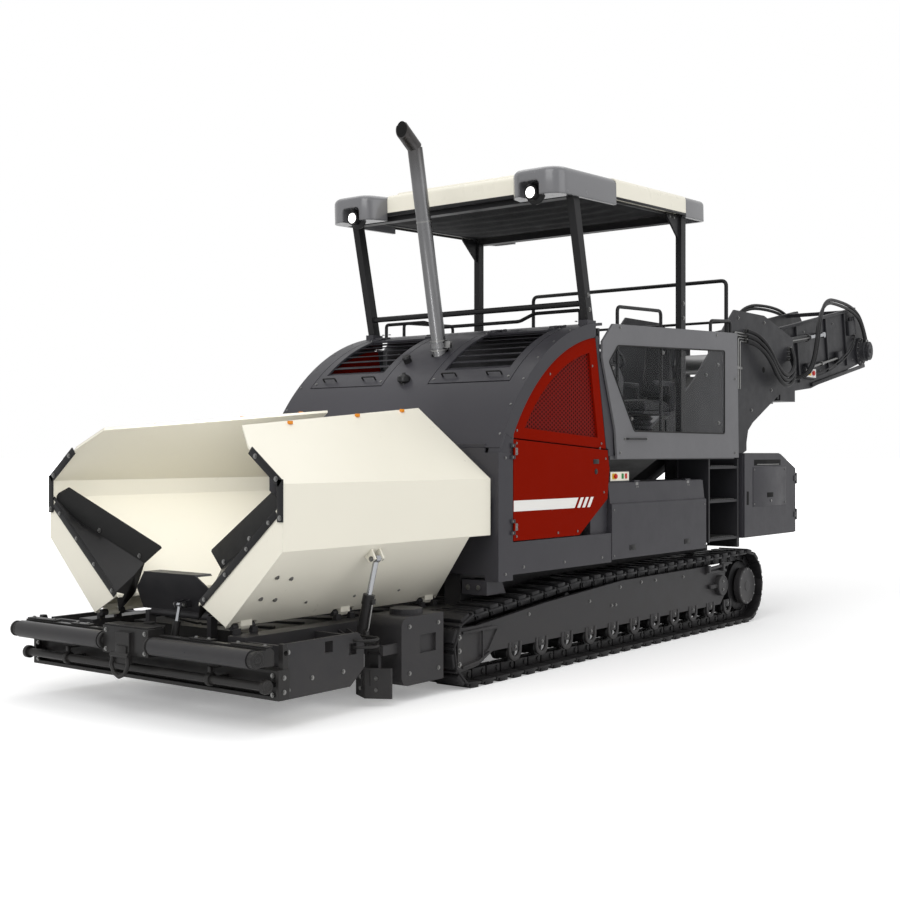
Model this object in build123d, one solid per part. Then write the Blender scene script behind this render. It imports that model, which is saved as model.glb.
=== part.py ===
from build123d import *
import math
import os

# A tracked mobile feeder: a front receiving hopper, a long belt under the engine and the
# operator's platform, and a swivel conveyor at the rear. Millimetres, left side is +X,
# the rear is +Y, the ground is Z = 0 and Y = 0 is the middle of the tracks.

# The small gap between touching pieces, the play of a pin in its bore, and the sides of small bars
gap = 0.3
fit = 0.08
small_sides = 10
wheel_sides = 14

# Crawler tracks
half_width = 1257
shoe_width = 340
shoe_pitch = 190
lug_height = 28
shoe_plate = 20
chain_depth = 75
chain_width = 120
idler_y = -2344
idler_r = 290
carrier_y = -900
carrier_top = 712
carrier_r = 170
drive_y = 2440
drive_r = 380
roller_count = 11
roller_first_y = -1750
roller_last_y = 2060
roller_r = 62
frame_outside = 1200

# Hopper
wing_front = -4330
wing_rear = -2080
hinge_x = 674
hinge_z = 608
wing_out = 1200
crease_low = 1130
crease_high = 1560
lean = 0.787
skin = 16
wing_hinges = (wing_front + 150, (wing_front + wing_rear) / 2, wing_rear - 150)
gate_hinge_y = wing_front + 210
gate_hinge_z = 630
scraper_y = -3300
scraper_z = 380

# Front push beam and bumper
push_z = 483
push_r = 60
push_inner = 262
push_outer = 1188
bumper_rear = wing_front
bumper_deep = 100
bumper_front = bumper_rear - bumper_deep
push_pivot_y = bumper_front + 30
push_y = bumper_front - push_r - 95
bumper_low = 210
bumper_high = 400
bumper_half = 1262
tow_eye_r = 18
tow_eye_z = 500
guard_z = 305
guard_r = 27

# Main frame rails and the hopper's side plates
rail_in = 700
rail_out = 860
hopper_side_x = 1165
side_plate_rear = wing_front + 790

# Body and platform
body_half = 1250
body_front = -2045
arch_foot = 1800
arch_rear = -500
arch_top = 2880
panel_x = body_half - 44
column_x = body_half - 130
door_pin_x = body_half + 12
hatch_in = 250
hatch_out = body_half - 160
deck_z = 1700
deck_thick = 30
deck_half = body_half - 16
seat_x = body_half - 310
platform_rear = 2150
hatch_hinges = (hatch_in + 110, hatch_out - 110)
door_front = -1840
door_low = 1070
door_hinges = (door_low + 110, door_low + 700)
engine_low = 1250
locker_front = -340
locker_rear = 1480
locker_low = 825
locker_high = 1500
locker_hinges = (locker_front + 510, locker_rear - 315)
locker_x = body_half - 54
box_front = 2360
box_rear = 3700
box_low = 880
box_high = 1760
box_hinges = (box_low + 200, box_high - 280)
box_x = body_half - 18
box_pin_x = body_half + 4

# Exhaust stack
exhaust_foot = (100, -1209, 2200)
exhaust_bend = (100, -1640, 4336)
exhaust_r = 64

# Canopy
post_x = body_half - 55
post_front_low = -655
post_front_top = -890
post_rear = 1055
roof_half = body_half + 20
roof_z = 4005
roof_tilt = 2.06
roof_deep = 165
lamp_x = 966
lamp_r = 55

# Conveyors
belt_half = 590
belt_z = 540
belt_front = wing_front + 280
belt_bend = -1300
belt_deep = 110
head_y = 4450
head_z = 2850
head_r = 120
slew_y = 5150
shelf_z = 2405
lift_z = 2750
swivel_tilt = 10.5
swivel_half = 420
swivel_head = 2900
swivel_drop = -75

# Hydraulic cylinders: the pin on the frame side, the rod's eye, and their sizes
wing_ram_y = wing_front + 940
wing_foot = (1010, wing_ram_y, 420)
wing_eye = (1172, wing_ram_y, 1030)
wing_cylinder = {"foot_width": 70, "foot_r": 30, "pin_r": 14, "tube_r": 36, "barrel": 370,
                 "rod_from": 270, "rod_r": 20, "eye_width": 44, "eye_r": 26}
gate_ram_x = 100
gate_foot = (gate_ram_x, bumper_rear + 60, 470)
gate_eye = (gate_ram_x, gate_hinge_y - 96, 712)
gate_cylinder = {"foot_width": 54, "foot_r": 22, "pin_r": 11, "tube_r": 27, "barrel": 135,
                 "rod_from": 120, "rod_r": 14, "eye_width": 32, "eye_r": 18}
lift_foot = (515, slew_y - 80, 3130)
lift_eye = (515, slew_y + 1218, 3311)
lift_cylinder = {"foot_width": 60, "foot_r": 42, "pin_r": 20, "tube_r": 42, "barrel": 800,
                 "rod_from": 560, "rod_r": 26, "eye_width": 50, "eye_r": 36}


def block(x, y, z):
    # a box given by its low and high limits on each axis
    centre = Pos((x[0] + x[1]) / 2, (y[0] + y[1]) / 2, (z[0] + z[1]) / 2)
    return centre * Box(x[1] - x[0], y[1] - y[0], z[1] - z[0])


def bar(start, end, radius):
    # a round bar between two points
    along = Vector(*end) - Vector(*start)
    lower = (Align.CENTER, Align.CENTER, Align.MIN)
    return Plane(origin=start, z_dir=along) * Cylinder(radius, along.length, align=lower)


def prism(start, end, radius, sides=small_sides, bore=False):
    # a many-sided bar for small pins, or a many-sided bore that a round pin turns in
    along = Vector(*end) - Vector(*start)
    turn = 0 if bore else 180 / sides
    ring = RegularPolygon(radius, sides, major_radius=not bore, rotation=turn)
    placed = Plane(origin=start, z_dir=along) * ring
    return extrude(placed, amount=along.length, dir=along)


def toward(start, end, distance):
    # the point at a distance from the start on the way to the end
    step = (Vector(*end) - Vector(*start)).normalized() * distance
    return tuple(Vector(*start) + step)


def shifted(point, axis, distance):
    return tuple(Vector(*point) + Vector(*axis) * distance)


def cylinder_barrel(foot, eye, axis, spec):
    # the barrel half of a hydraulic cylinder: a drilled foot and a bored tube
    half = spec["foot_width"] / 2
    tube = bar(toward(foot, eye, spec["pin_r"] + 5), toward(foot, eye, spec["barrel"]), spec["tube_r"])
    lug = bar(shifted(foot, axis, -half), shifted(foot, axis, half), spec["foot_r"])
    hollow = prism(toward(foot, eye, spec["foot_r"]), toward(foot, eye, spec["barrel"] + 5),
                   spec["rod_r"] + fit, wheel_sides, True)
    pin = prism(shifted(foot, axis, -3 * half), shifted(foot, axis, 3 * half), spec["pin_r"] + fit, bore=True)
    return weld(tube, lug) - hollow - pin


def cylinder_rod(foot, eye, axis, spec):
    # the rod half: a round rod with an eye at its end
    half = spec["eye_width"] / 2
    rod = bar(toward(foot, eye, spec["rod_from"]), toward(eye, foot, spec["eye_r"] - 5), spec["rod_r"])
    return weld(rod, prism(shifted(eye, axis, -half), shifted(eye, axis, half), spec["eye_r"], wheel_sides))


def knuckle(point, axis, radius, length):
    # the moving barrel of a hinge, centred on a point
    return bar(shifted(point, axis, -length / 2), shifted(point, axis, length / 2), radius)


def knuckle_ends(point, axis, radius, length):
    # the two fixed barrels beside the moving one
    return [prism(shifted(point, axis, s * (length / 2 + gap)), shifted(point, axis, s * length), radius)
            for s in (1, -1)]


def slab(points, way):
    # a flat outline pushed along a direction
    face = make_face(Polyline(*points, close=True))
    return extrude(face, amount=Vector(*way).length, dir=way)


def slab_x(outline, x0, x1):
    # an outline of (Y, Z) points pushed across the machine
    return slab([(x0, y, z) for y, z in outline], (x1 - x0, 0, 0))


def slab_y(outline, y0, y1):
    # an outline of (X, Z) points pushed along the machine
    return slab([(x, y0, z) for x, z in outline], (0, y1 - y0, 0))


def slab_z(outline, z0, z1):
    # an outline of (X, Y) points pushed upwards
    return slab([(x, y, z0) for x, y in outline], (0, 0, z1 - z0))


def tube(points, radius):
    # a bent hand rail through a row of points
    path = Polyline(*points)
    ring = Plane(origin=points[0], z_dir=path % 0) * RegularPolygon(radius, 8)
    return sweep(ring, path=path, transition=Transition.RIGHT)


def weld(*pieces):
    # pieces joined into one
    return Part() + list(pieces)


def group(*pieces):
    # separate solids kept together under one name
    return Compound([s for p in pieces for s in p.solids()])


def other(piece):
    # the same piece on the right side
    return piece.mirror(Plane.YZ)


def left_right(*pieces):
    return group(*pieces, *[other(p) for p in pieces])


def loop_run(wheels):
    # the closed path round a row of wheels as straight runs and arcs
    runs = []
    count = len(wheels)
    angles = []
    for i in range(count):
        y0, z0, r0 = wheels[i]
        y1, z1, r1 = wheels[(i + 1) % count]
        apart = math.hypot(y1 - y0, z1 - z0)
        angles.append(math.atan2(z1 - z0, y1 - y0) + math.acos((r0 - r1) / apart))
    for i in range(count):
        y1, z1, r1 = wheels[(i + 1) % count]
        y0, z0, r0 = wheels[i]
        a = angles[i]
        length = math.hypot(y1 - y0 + (r1 - r0) * math.cos(a), z1 - z0 + (r1 - r0) * math.sin(a))
        runs.append((length, y0, z0, r0, a, 0.0))
        turn = (a - angles[(i + 1) % count]) % (2 * math.pi)
        runs.append((turn * r1, y1, z1, r1, a, turn))
    return runs


def loop_at(runs, s, depth):
    # the (Y, Z) point at a distance along the path, sunk by a depth
    s = s % sum(run[0] for run in runs)
    for length, y, z, r, a, turn in runs:
        if s <= length:
            b = a - turn * s / length if turn else a
            ahead = 0.0 if turn else s
            return (y + (r - depth) * math.cos(b) + ahead * math.sin(b),
                    z + (r - depth) * math.sin(b) - ahead * math.cos(b))
        s -= length
    return loop_at(runs, 0.0, depth)


def wheel_row():
    carrier_z = carrier_top - carrier_r
    return ((idler_y, idler_r, idler_r), (carrier_y, carrier_z, carrier_r), (drive_y, drive_r, drive_r))


def track():
    # one closed track: shoes with their lugs outside, the chain inside
    runs = loop_run(wheel_row())
    total = sum(run[0] for run in runs)
    count = round(total / shoe_pitch)
    pitch = total / count
    sole = lug_height + shoe_plate
    shoe = ((0.02, sole - 6), (0.04, lug_height), (0.42, lug_height), (0.45, 0),
            (0.55, 0), (0.58, lug_height), (0.96, lug_height), (0.98, sole - 6))
    outer = [loop_at(runs, (i + f) * pitch, d) for i in range(count) for f, d in shoe]
    inner = [loop_at(runs, i * pitch / 2, sole) for i in range(2 * count)]
    chain = [loop_at(runs, i * pitch / 2, sole + chain_depth) for i in range(2 * count)]
    x0 = half_width - shoe_width
    middle = half_width - shoe_width / 2
    shoes = slab_x(outer, x0, half_width) - slab_x(inner, x0 - 1, half_width + 1)
    half = chain_width / 2
    links = slab_x(inner, middle - half, middle + half)
    links -= slab_x(chain, middle - half - 1, middle + half + 1)
    return weld(shoes, links)


def track_frame():
    # the welded side frame inside the track loop with its bolted front flange
    middle = half_width - shoe_width / 2
    inside = middle - 117
    plate_in = middle + 72
    plate = slab_x(((-2510, 120), (-2250, 145), (-2050, 235), (1900, 235), (2010, 330), (2010, 600),
                    (1550, 636), (-70, 625), (-1330, 540), (-2250, 452), (-2510, 452)),
                   plate_in, frame_outside)
    pocket = slab_x(((-2440, 170), (-2260, 190), (-2100, 260), (-1990, 400), (-2440, 400)), 1188, 1300)
    box = slab_x(((-1960, 290), (1900, 290), (1900, 480), (-900, 480), (-1960, 430)), inside, plate_in)
    flange = block((frame_outside - 5, frame_outside + 25), (-2530, -2490), (150, 430))
    rear_arm = block((inside, middle - 70 - gap), (1880, 2560), (320, 460))
    front_arm = block((inside, middle - 70 - gap), (-2450, -1940), (290, 370))
    rib = block((plate_in, frame_outside + 20), (1560, 2010), (560, 585))
    return weld(plate - pocket, box, flange, rear_arm, front_arm, rib)


def track_wheel_set():
    # idler, sprocket, carrier and bottom rollers of one side
    middle = half_width - shoe_width / 2
    depth = lug_height + shoe_plate + chain_depth
    pieces = []
    for i in range(roller_count):
        y = roller_first_y + (roller_last_y - roller_first_y) * i / (roller_count - 1)
        z = depth + roller_r * math.cos(math.pi / wheel_sides) + gap
        pieces.append(prism((middle - 100, y, z), (middle + 71.7, y, z), roller_r, wheel_sides))
    for y, z, r in wheel_row():
        pieces.append(prism((middle - 70, y, z), (middle + 71.7, y, z), r - depth - 3.5, 24))
    return pieces


def final_drive():
    # the round drive cover and the smaller brake cap on the outside
    inside = half_width - shoe_width / 2 + 72
    hub = prism((inside, drive_y, drive_r), (half_width - 8, drive_y, drive_r), 190, 24)
    cap = prism((frame_outside + gap, 1870, 430), (half_width - 4, 1870, 430), 105, 24)
    return group(hub, cap)


def main_rail():
    # one deep rail between the tracks, the arms to the track frame and the platform posts
    rear = drive_y - 140
    rail = slab_x(((bumper_rear, 330), (rear, 330), (rear, 800), (wing_rear + 70, 800), (wing_rear + 70, 560),
                   (bumper_rear, 560)), rail_in, rail_out)
    arms = [block((rail_out - 5, 970), (y, y + 300), (340, 475)) for y in (-1400, 800)]
    posts = [block((rail_out - 80, rail_out), (y, y + 85), (800 + gap, deck_z))
             for y in (wing_rear + 80, -1700, -800, -100, 1900)]
    return [weld(rail, *arms)] + posts


def main_frame():
    # both rails, the belt floor between them and the beams under the engine
    half = rail_in - gap
    split = -2700
    floor = [block((-half, half), (belt_front - 150, split), (370, 430)),
             block((-half, half), (split + gap, drive_y - 140), (340, 380))]
    reach = rail_out - 80 - gap
    beams = [block((-reach, reach), (y, y + 85), (engine_low - 100, engine_low - gap)) for y in (-1700, -800)]
    return group(*floor, *beams, left_right(*main_rail()))


def hopper_side():
    # the outer side plate with its square holes, the webs, the cylinder's ears and the box over the track
    rear = side_plate_rear
    plate = slab_x(((bumper_rear, 190), (bumper_rear, 545), (rear - 60, 545), (rear, 480), (rear, 300),
                    (rear - 140, 190)), hopper_side_x, hopper_side_x + 25)
    for y, z in ((rear - 350, 480), (rear - 115, 440)):
        plate -= block((hopper_side_x - 50, hopper_side_x + 50), (y - 38, y + 38), (z - 38, z + 38))
    webs = [block((rail_out + gap, hopper_side_x - gap), (y, y + 30), (215, 535))
            for y in (bumper_rear + 5, rear - 140)]
    foot_x, foot_y, foot_z = wing_foot
    reach = wing_cylinder["foot_width"] / 2 + 1
    ear = ((rail_out + gap, foot_z - 40), (foot_x + 38, foot_z - 30), (foot_x + 38, foot_z + 30),
           (rail_out + gap, foot_z + 100))
    ears = [slab_y(ear, foot_y + d, foot_y + d + 16) for d in (reach, -reach - 16)]
    pin = prism(shifted(wing_foot, (0, 1, 0), -reach - 16), shifted(wing_foot, (0, 1, 0), reach + 16),
                wing_cylinder["pin_r"])
    front = scraper_y + 130
    box = block((rail_out + 10, 1215), (front, front + 480), (115, 600))
    box = fillet(box.edges().filter_by(Axis.X).group_by(Axis.Y)[0], 70)
    box -= block((1190, 1300), (front + 210, front + 390), (330, 460))
    tie = block((rail_out + gap, rail_out + 15), (front + 70, front + 410), (340, 550))
    cap = prism((1060, front + 240, 600 + gap), (1060, front + 240, 640), 120, 24)
    holder = [block((x, x + 28), (scraper_y - 30, front + 5), (scraper_z - 30, scraper_z + 40))
              for x in (1000, 1152)]
    rod = prism((1000, scraper_y, scraper_z), (1180, scraper_y, scraper_z), 16)
    return [plate, *webs, weld(*ears, pin), weld(box, tie, *holder, rod), cap]


def hinge_seats():
    # the fixed hinge barrels of one wing on the top of the rail
    pieces = []
    for y in wing_hinges:
        feet = [block((690, 722), (y + d, y + d + 48), (560 + gap, 600)) for d in (51, -99)]
        ends = knuckle_ends((hinge_x, y, hinge_z), (0, 1, 0), 24, 100)
        pieces += [weld(feet[0], ends[0]), weld(feet[1], ends[1])]
    return pieces


def gate_posts():
    # the bearing posts of the centre gate
    y = gate_hinge_y
    return [block((300 + gap, 340), (y - 30, y + 30), (430 + gap, gate_hinge_z + 10))]


def bumper():
    # the channel beam across the front with its guard tube, tow lugs and the pivot of the push beam
    beam = block((-bumper_half, bumper_half), (bumper_front, bumper_rear - gap), (bumper_low, bumper_high))
    beam -= block((25 - bumper_half, bumper_half - 25), (bumper_front - 1, bumper_front + 55),
                  (bumper_low + 25, bumper_high - 20))
    guard_y = bumper_front - 70
    guard = prism((-1215, guard_y, guard_z), (1215, guard_y, guard_z), guard_r, wheel_sides)
    arms = [block((x - 18, x + 18), (guard_y, bumper_front + 60), (guard_z - 14, guard_z + 14))
            for x in (-1190, -740, 740, 1190)]
    discs = [prism((s * 1205, guard_y, guard_z), (s * 1235, guard_y, guard_z), 45, wheel_sides)
             for s in (1, -1)]
    low, rear = bumper_high - 5, bumper_rear - 5
    lug = slab_x(((rear - 50, low), (rear, low), (rear, tow_eye_z + 20), (rear - 15, tow_eye_z + 60),
                  (rear - 50, tow_eye_z + 60)), bumper_half - 46, bumper_half - 6)
    lug -= bar((bumper_half - 60, rear - 25, tow_eye_z), (bumper_half + 10, rear - 25, tow_eye_z), tow_eye_r)
    pivot = bar((0, push_pivot_y, low), (0, push_pivot_y, push_z + 122), 38)
    foot_x, foot_y, foot_z = gate_foot
    ears = [block((foot_x + d, foot_x + d + 16), (foot_y - 30, foot_y + 30), (low - 5, foot_z + 30))
            for d in (-48, 32)]
    tail = block((foot_x - 60, foot_x + 60), (rear, foot_y + 35), (bumper_high - 25, bumper_high))
    pin = prism((foot_x - 48, foot_y, foot_z), (foot_x + 48, foot_y, foot_z), gate_cylinder["pin_r"])
    return weld(beam, guard, *arms, *discs, lug, other(lug), pivot, tail, *ears, pin)


def push_beam():
    # the pivoted beam that carries the push rollers, with the tow jaw in the middle
    y0 = push_y + push_r + 12
    beam = slab_x(((y0, 430), (y0 + 70, 430), (y0 + 70, 520), (y0 + 45, 545), (y0, 545)), -1236, 1236)
    middle = slab_z(((-235, push_y - 20), (235, push_y - 20), (235, y0 + 40), (120, push_pivot_y + 40),
                     (-120, push_pivot_y + 40), (-235, y0 + 40)), 406, 590)
    pieces = [beam, middle]
    for x0, x1 in ((push_outer + 8, 1236), (push_inner - 27, push_inner - 8)):
        cheek = block((x0, x1), (push_y - 20, y0), (433, 533))
        end = prism((x0, push_y - 5, push_z), (x1, push_y - 5, push_z), 52, wheel_sides)
        pieces += [cheek, end, other(cheek), other(end)]
    axle = prism((push_inner - 10, push_y, push_z), (push_outer + 10, push_y, push_z), 20)
    jaw = block((-70, 70), (push_y - 45, push_y - 15), (350, 560))
    pieces += [axle, other(axle), jaw]
    return weld(*pieces) - prism((0, push_pivot_y, 400), (0, push_pivot_y, 620), 38 + fit, 24, True)


def push_roller():
    roller = bar((push_inner, push_y, push_z), (push_outer, push_y, push_z), push_r)
    start, end = (push_inner - 1, push_y, push_z), (push_outer + 1, push_y, push_z)
    return roller - prism(start, end, 20 + fit, bore=True)


def wing_skin():
    # the folded outer skin, trimmed along its slanting top edge and at both ends
    top_x = 440
    top_z = crease_high + (wing_out - top_x) * lean
    out = ((hinge_x, hinge_z), (wing_out, crease_low), (wing_out, crease_high), (top_x, top_z))
    inn = ((top_x, top_z - 20), (wing_out - skin, crease_high - 8), (wing_out - skin, crease_low + 7),
           (hinge_x, hinge_z + 22))
    shell = slab_y(out + inn, wing_front, wing_rear)
    top_trim = slab_z(((896, wing_front - 5), (716, wing_front + 110), (490, wing_rear + 5),
                       (300, wing_rear + 5), (300, wing_front - 5)), 1600, 2400)
    rear_trim = slab_z(((hinge_x, wing_rear - 20), (1192, -2344), (1300, -2344), (1300, wing_rear + 5),
                        (hinge_x, wing_rear + 5)), 500, crease_low - 4)
    return shell - top_trim - rear_trim


def under_skin(x):
    # the height just below the lower face of a wing's sloping skin
    slope = (crease_low - hinge_z) / (wing_out - hinge_x)
    return hinge_z + (x - hinge_x) * slope - 1.42 * gap


def wing():
    # one hopper wing: the skin, its sloping lining, the end plates and the hinge barrels
    lining = slab_y(((420, 735), (wing_out - 8, 1415), (wing_out - 8, 1437), (420, 757)),
                    wing_front, wing_rear)
    end = ((hinge_x, hinge_z + 8), (wing_out - 6, crease_low), (wing_out - 6, 1420), (430, 750))
    front = slab_y(end, wing_front, wing_front + 12)
    rear = slab_y(end, -2360, -2348)
    body = weld(wing_skin(), lining, front, rear)
    for y in wing_hinges:
        body -= block((hinge_x - 40, hinge_x + 30), (y - 110, y + 110), (hinge_z - 40, hinge_z + 34))
    pieces = [knuckle((hinge_x, y, hinge_z), (0, 1, 0), 24, 100) for y in wing_hinges[:1]]
    pieces += [prism((hinge_x, y - 50, hinge_z), (hinge_x, y + 50, hinge_z), 24) for y in wing_hinges[1:]]
    pieces += [block((hinge_x, hinge_x + 44), (y - 50, y + 50), (hinge_z + 4, hinge_z + 56))
               for y in wing_hinges]
    eye_x, eye_y, eye_z = wing_eye
    lug = ((eye_x - 62, under_skin(eye_x - 62)), (eye_x - 4, under_skin(eye_x - 4)),
           (eye_x + 33, eye_z), (eye_x - 17, eye_z - 30))
    lugs = [slab_y(lug, eye_y + d, eye_y + d + 16) for d in (34, -50)]
    return group(weld(body, *pieces), *lugs)


def flap():
    # the rubber apron that hangs across the front corner between the wing and the gate
    outer = wing_out - skin - gap
    corners = ((outer, 1482), (outer, 1440), (357, 974), (216, 1082))
    return slab([(x, wing_front + 14 + (outer - x) * 0.26, z) for x, z in corners], (0, 12, 0))


def gate():
    # the folded centre gate: a leaning plate with a hooded top, and the cylinder's lugs
    y, z = gate_hinge_y, gate_hinge_z
    side = ((y, z + 20), (y - 110, 925), (y + 40, 925), (y + 40, 911), (y - 92, 911), (y + 16, z + 20))
    plate = slab_x(side, -400, 400)
    plate &= slab_y(((-400, z), (400, z), (400, 800), (260, 926), (-260, 926), (-400, 800)), y - 200, y + 200)
    hinge = bar((-300, y, z), (300, y, z), 24)
    lean_y = 110 / (925 - z - 20)
    root = [(y - lean_y * (h - z - 20) - 1.1 * gap, h) for h in (742, 694)]
    lugs = [slab_x(((y - 116, 694), (y - 116, 730), *root), gate_ram_x + d, gate_ram_x + d + 14)
            for d in (-38, 24)]
    return group(weld(plate, hinge), *lugs)


def scraper():
    # the plough blade that clears the ground ahead of the track
    y, z = scraper_y, scraper_z
    arm = block((1050, 1130), (y - 20, y + 10), (120, z))
    blade = slab_z(((930, y - 30), (1090, y - 120), (1250, y - 30), (1250, y - 12), (1090, y - 100),
                    (930, y - 12)), 60, 270)
    brace = block((1050, 1130), (y - 105, y), (150, 250))
    hub = bar((1036, y, z), (1144, y, z), 30)
    return weld(arm, blade, brace, hub) - prism((1000, y, z), (1200, y, z), 16 + fit, bore=True)


def engine():
    return block((-560, 560), (-1750, -560), (engine_low, engine_low + 900))


def arch_circle():
    # centre and radius of the hood's arch, through its foot, its shoulder and its top
    arc = ThreePointArc((body_front + 20, arch_foot), (-1450, 2520), (arch_rear, arch_top))
    return arc.arc_center.X, arc.arc_center.Y, arc.radius


def arch_angle(share):
    # the angle at a share of the way from the arch's foot to its top
    cy, cz, r = arch_circle()
    foot = math.atan2(arch_foot - cz, body_front + 20 - cy)
    top = math.atan2(arch_top - cz, arch_rear - cy)
    return foot + (top - foot) * share


def arch_point(share, depth):
    cy, cz, r = arch_circle()
    b = arch_angle(share)
    return cy + (r - depth) * math.cos(b), cz + (r - depth) * math.sin(b)


def arch_sheet(depth, thick, x0, x1, start, stop):
    # a part of the arched hood between two depths below its outer face
    def at(share, d):
        return (x0,) + arch_point(share, d)

    mid = (start + stop) / 2
    deep = depth + thick
    top = ThreePointArc(at(start, depth), at(mid, depth), at(stop, depth))
    under = ThreePointArc(at(stop, deep), at(mid, deep), at(start, deep))
    ends = [Line(at(stop, depth), at(stop, deep)), Line(at(start, deep), at(start, depth))]
    return extrude(make_face([top, ends[0], under, ends[1]]), amount=x1 - x0, dir=(1, 0, 0))


def hatch_leaf(x0, x1, start, stop):
    # a flat hinge leaf lying on the arch between two shares of its way
    corners = [arch_point(share, depth)
               for share, depth in ((start, -12), (stop, -12), (stop, 4), (start, 4))]
    return slab_x(corners, x0, x1)


def hood():
    # the arched engine hood with two hatch openings, its side rims and the post feet
    shell = arch_sheet(0, 25, -body_half, body_half, 0.0, 1.0)
    rim = arch_sheet(20, 100, body_half - 45, body_half, 0.07, 0.93)
    half = column_x - 10
    lip = block((-half, half), (body_front + 22, body_front + 50), (arch_foot - 1, arch_foot + 30))
    foot = block((post_x - 45, post_x + 45), (post_front_low - 70, post_front_low + 70), (2760, 2890))
    shell = weld(shell, rim, other(rim), lip, foot, other(foot))
    for x0 in (-hatch_out, hatch_in):
        shell -= arch_sheet(-10, 60, x0, x0 + hatch_out - hatch_in, 0.33, 0.84)
    shell -= prism(exhaust_foot, exhaust_bend, exhaust_r + 10, 24)
    point = arch_point(0.837, -11)
    pieces = [shell]
    for x in hatch_hinges:
        ends = knuckle_ends((x,) + point, (1, 0, 0), 9, 60)
        leaves = [hatch_leaf(x + d, x + d + 29, 0.841, 0.875) for d in (31, -60)]
        pieces += ends + leaves + [other(p) for p in ends + leaves]
    return weld(*pieces)


def hatch():
    # the louvred hatch on the left half of the hood
    x0, x1 = hatch_in + 7, hatch_out - 7
    panel = arch_sheet(0, 20, x0, x1, 0.336, 0.834)
    panel -= arch_sheet(-1, 30, x0 + 80, x1 - 80, 0.42, 0.80)
    slat_count = 7
    pitch = 0.38 / slat_count
    slats = []
    for i in range(slat_count):
        start = 0.42 + pitch * i
        (y0, z0), (y1, z1) = arch_point(start, 4), arch_point(start + pitch * 0.75, 34)
        slats.append(slab_x(((y0, z0), (y1, z1), (y1 + 4, z1 - 6), (y0 + 4, z0 - 6)), x0 + 73, x1 - 73))
    point = arch_point(0.837, -11)
    pieces = [panel, *slats, knuckle((hatch_hinges[0],) + point, (1, 0, 0), 9, 60)]
    pieces.append(prism((hatch_hinges[1] - 30,) + point, (hatch_hinges[1] + 30,) + point, 9))
    pieces += [hatch_leaf(x - 30, x + 30, 0.80, 0.834) for x in hatch_hinges]
    return weld(*pieces)


def body_side():
    # the front column, the skirt and the leaning column at the platform on one side
    column = block((column_x, body_half), (body_front, door_front - 10), (765, 1760))
    foot = slab_x(((body_front, 655), (-1790, 655), (-1850, 770), (body_front, 770)), 900, column_x + 20)
    skirt = block((body_half - 40, body_half), (door_front - 12, locker_front - 2), (808, door_low - 8))
    pillar = block((panel_x - 56, panel_x - gap), (-620, locker_front - 2), (door_low - 20, deck_z - gap))
    foot_z = deck_z + deck_thick + gap
    rear_leg = slab_x(((-583, 2760 - gap), (-512, 2760 - gap), (-512, 2580), (-290, 1970), (-275, foot_z),
                       (-365, foot_z), (-365, 1790), (-400, 1800)), panel_x, deck_half)
    pieces = [column, foot, skirt, pillar]
    for z in door_hinges:
        pieces += knuckle_ends((door_pin_x, door_front - 5, z), (0, 0, 1), 9, 60)
        pieces += [block((body_half - 2, door_pin_x), (door_front - 45, door_front - 5), (z + d, z + d + 29))
                   for d in (31, -60)]
    low = block((panel_x - 56, panel_x + 10), (-620, -350), (door_low - 20, door_low - 8))
    return group(weld(*pieces, low), rear_leg)


def front_wall():
    # the wall behind the hopper, open at the bottom for the belt
    half = column_x - gap
    outline = ((-half, 810), (-780, 810), (-660, 1000), (660, 1000), (780, 810), (half, 810),
               (half, arch_foot - 2), (-half, arch_foot - 2))
    return slab_y(outline, body_front, body_front + 19)


def mesh_panel():
    # the fixed upper side panel under the arch: a frame round a recessed mesh plate
    cy, cz, r = arch_circle()
    outline = ((-1832, 1876), (-412, 1794), (-590, 2740), (-1832, 2740))
    inset = ((-1720, 1960), (-545, 1890), (-690, 2640), (-1720, 2640))
    x0, x1 = panel_x - 10, body_half + 10
    round_top = bar((x0, cy, cz), (x1, cy, cz), r - 120 - gap)
    round_inset = bar((x0, cy, cz), (x1, cy, cz), r - 240)
    frame = slab_x(outline, panel_x, body_half - 14) & round_top
    window = slab_x(inset, x0, x1) & round_inset
    mesh = slab_x(inset, panel_x, panel_x + 12) & round_inset
    return weld(frame - window, mesh)


def side_door():
    # the lower engine side door with its chamfered rear corner
    outline = ((door_front, door_low), (-870, door_low), (-408, 1362), (-374, 1625), (-408, 1783),
               (door_front, 1866))
    panel = slab_x(outline, panel_x, body_half)
    leaves = [block((body_half - 2, door_pin_x), (door_front - 5, door_front + 40), (z - 30, z + 30))
              for z in door_hinges]
    first, second = [(door_pin_x, door_front - 5, z) for z in door_hinges]
    pins = [knuckle(first, (0, 0, 1), 9, 60),
            prism(shifted(second, (0, 0, 1), -30), shifted(second, (0, 0, 1), 30), 9)]
    return weld(panel, *leaves, *pins)


def locker():
    # the locker under the platform, open to the side, with the small switch box on it
    shell = block((rail_out + gap, locker_x), (locker_front, locker_rear), (locker_low, locker_high))
    shell -= block((rail_out + 20, locker_x + 10), (locker_front + 16, locker_rear - 16),
                   (locker_low + 16, locker_high - 16))
    switch = block((locker_x - 196, locker_x), (locker_front + 60, locker_front + 402),
                   (locker_high - 2, locker_high + 100))
    pieces = [shell, switch]
    for y in locker_hinges:
        pieces += knuckle_ends((locker_x + 14, y, locker_high + 6), (0, 1, 0), 8, 50)
        pieces += [block((locker_x - 26, locker_x + 14), (y + d, y + d + 24),
                         (locker_high - 2, locker_high + 10)) for d in (26, -50)]
    return weld(*pieces)


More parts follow.
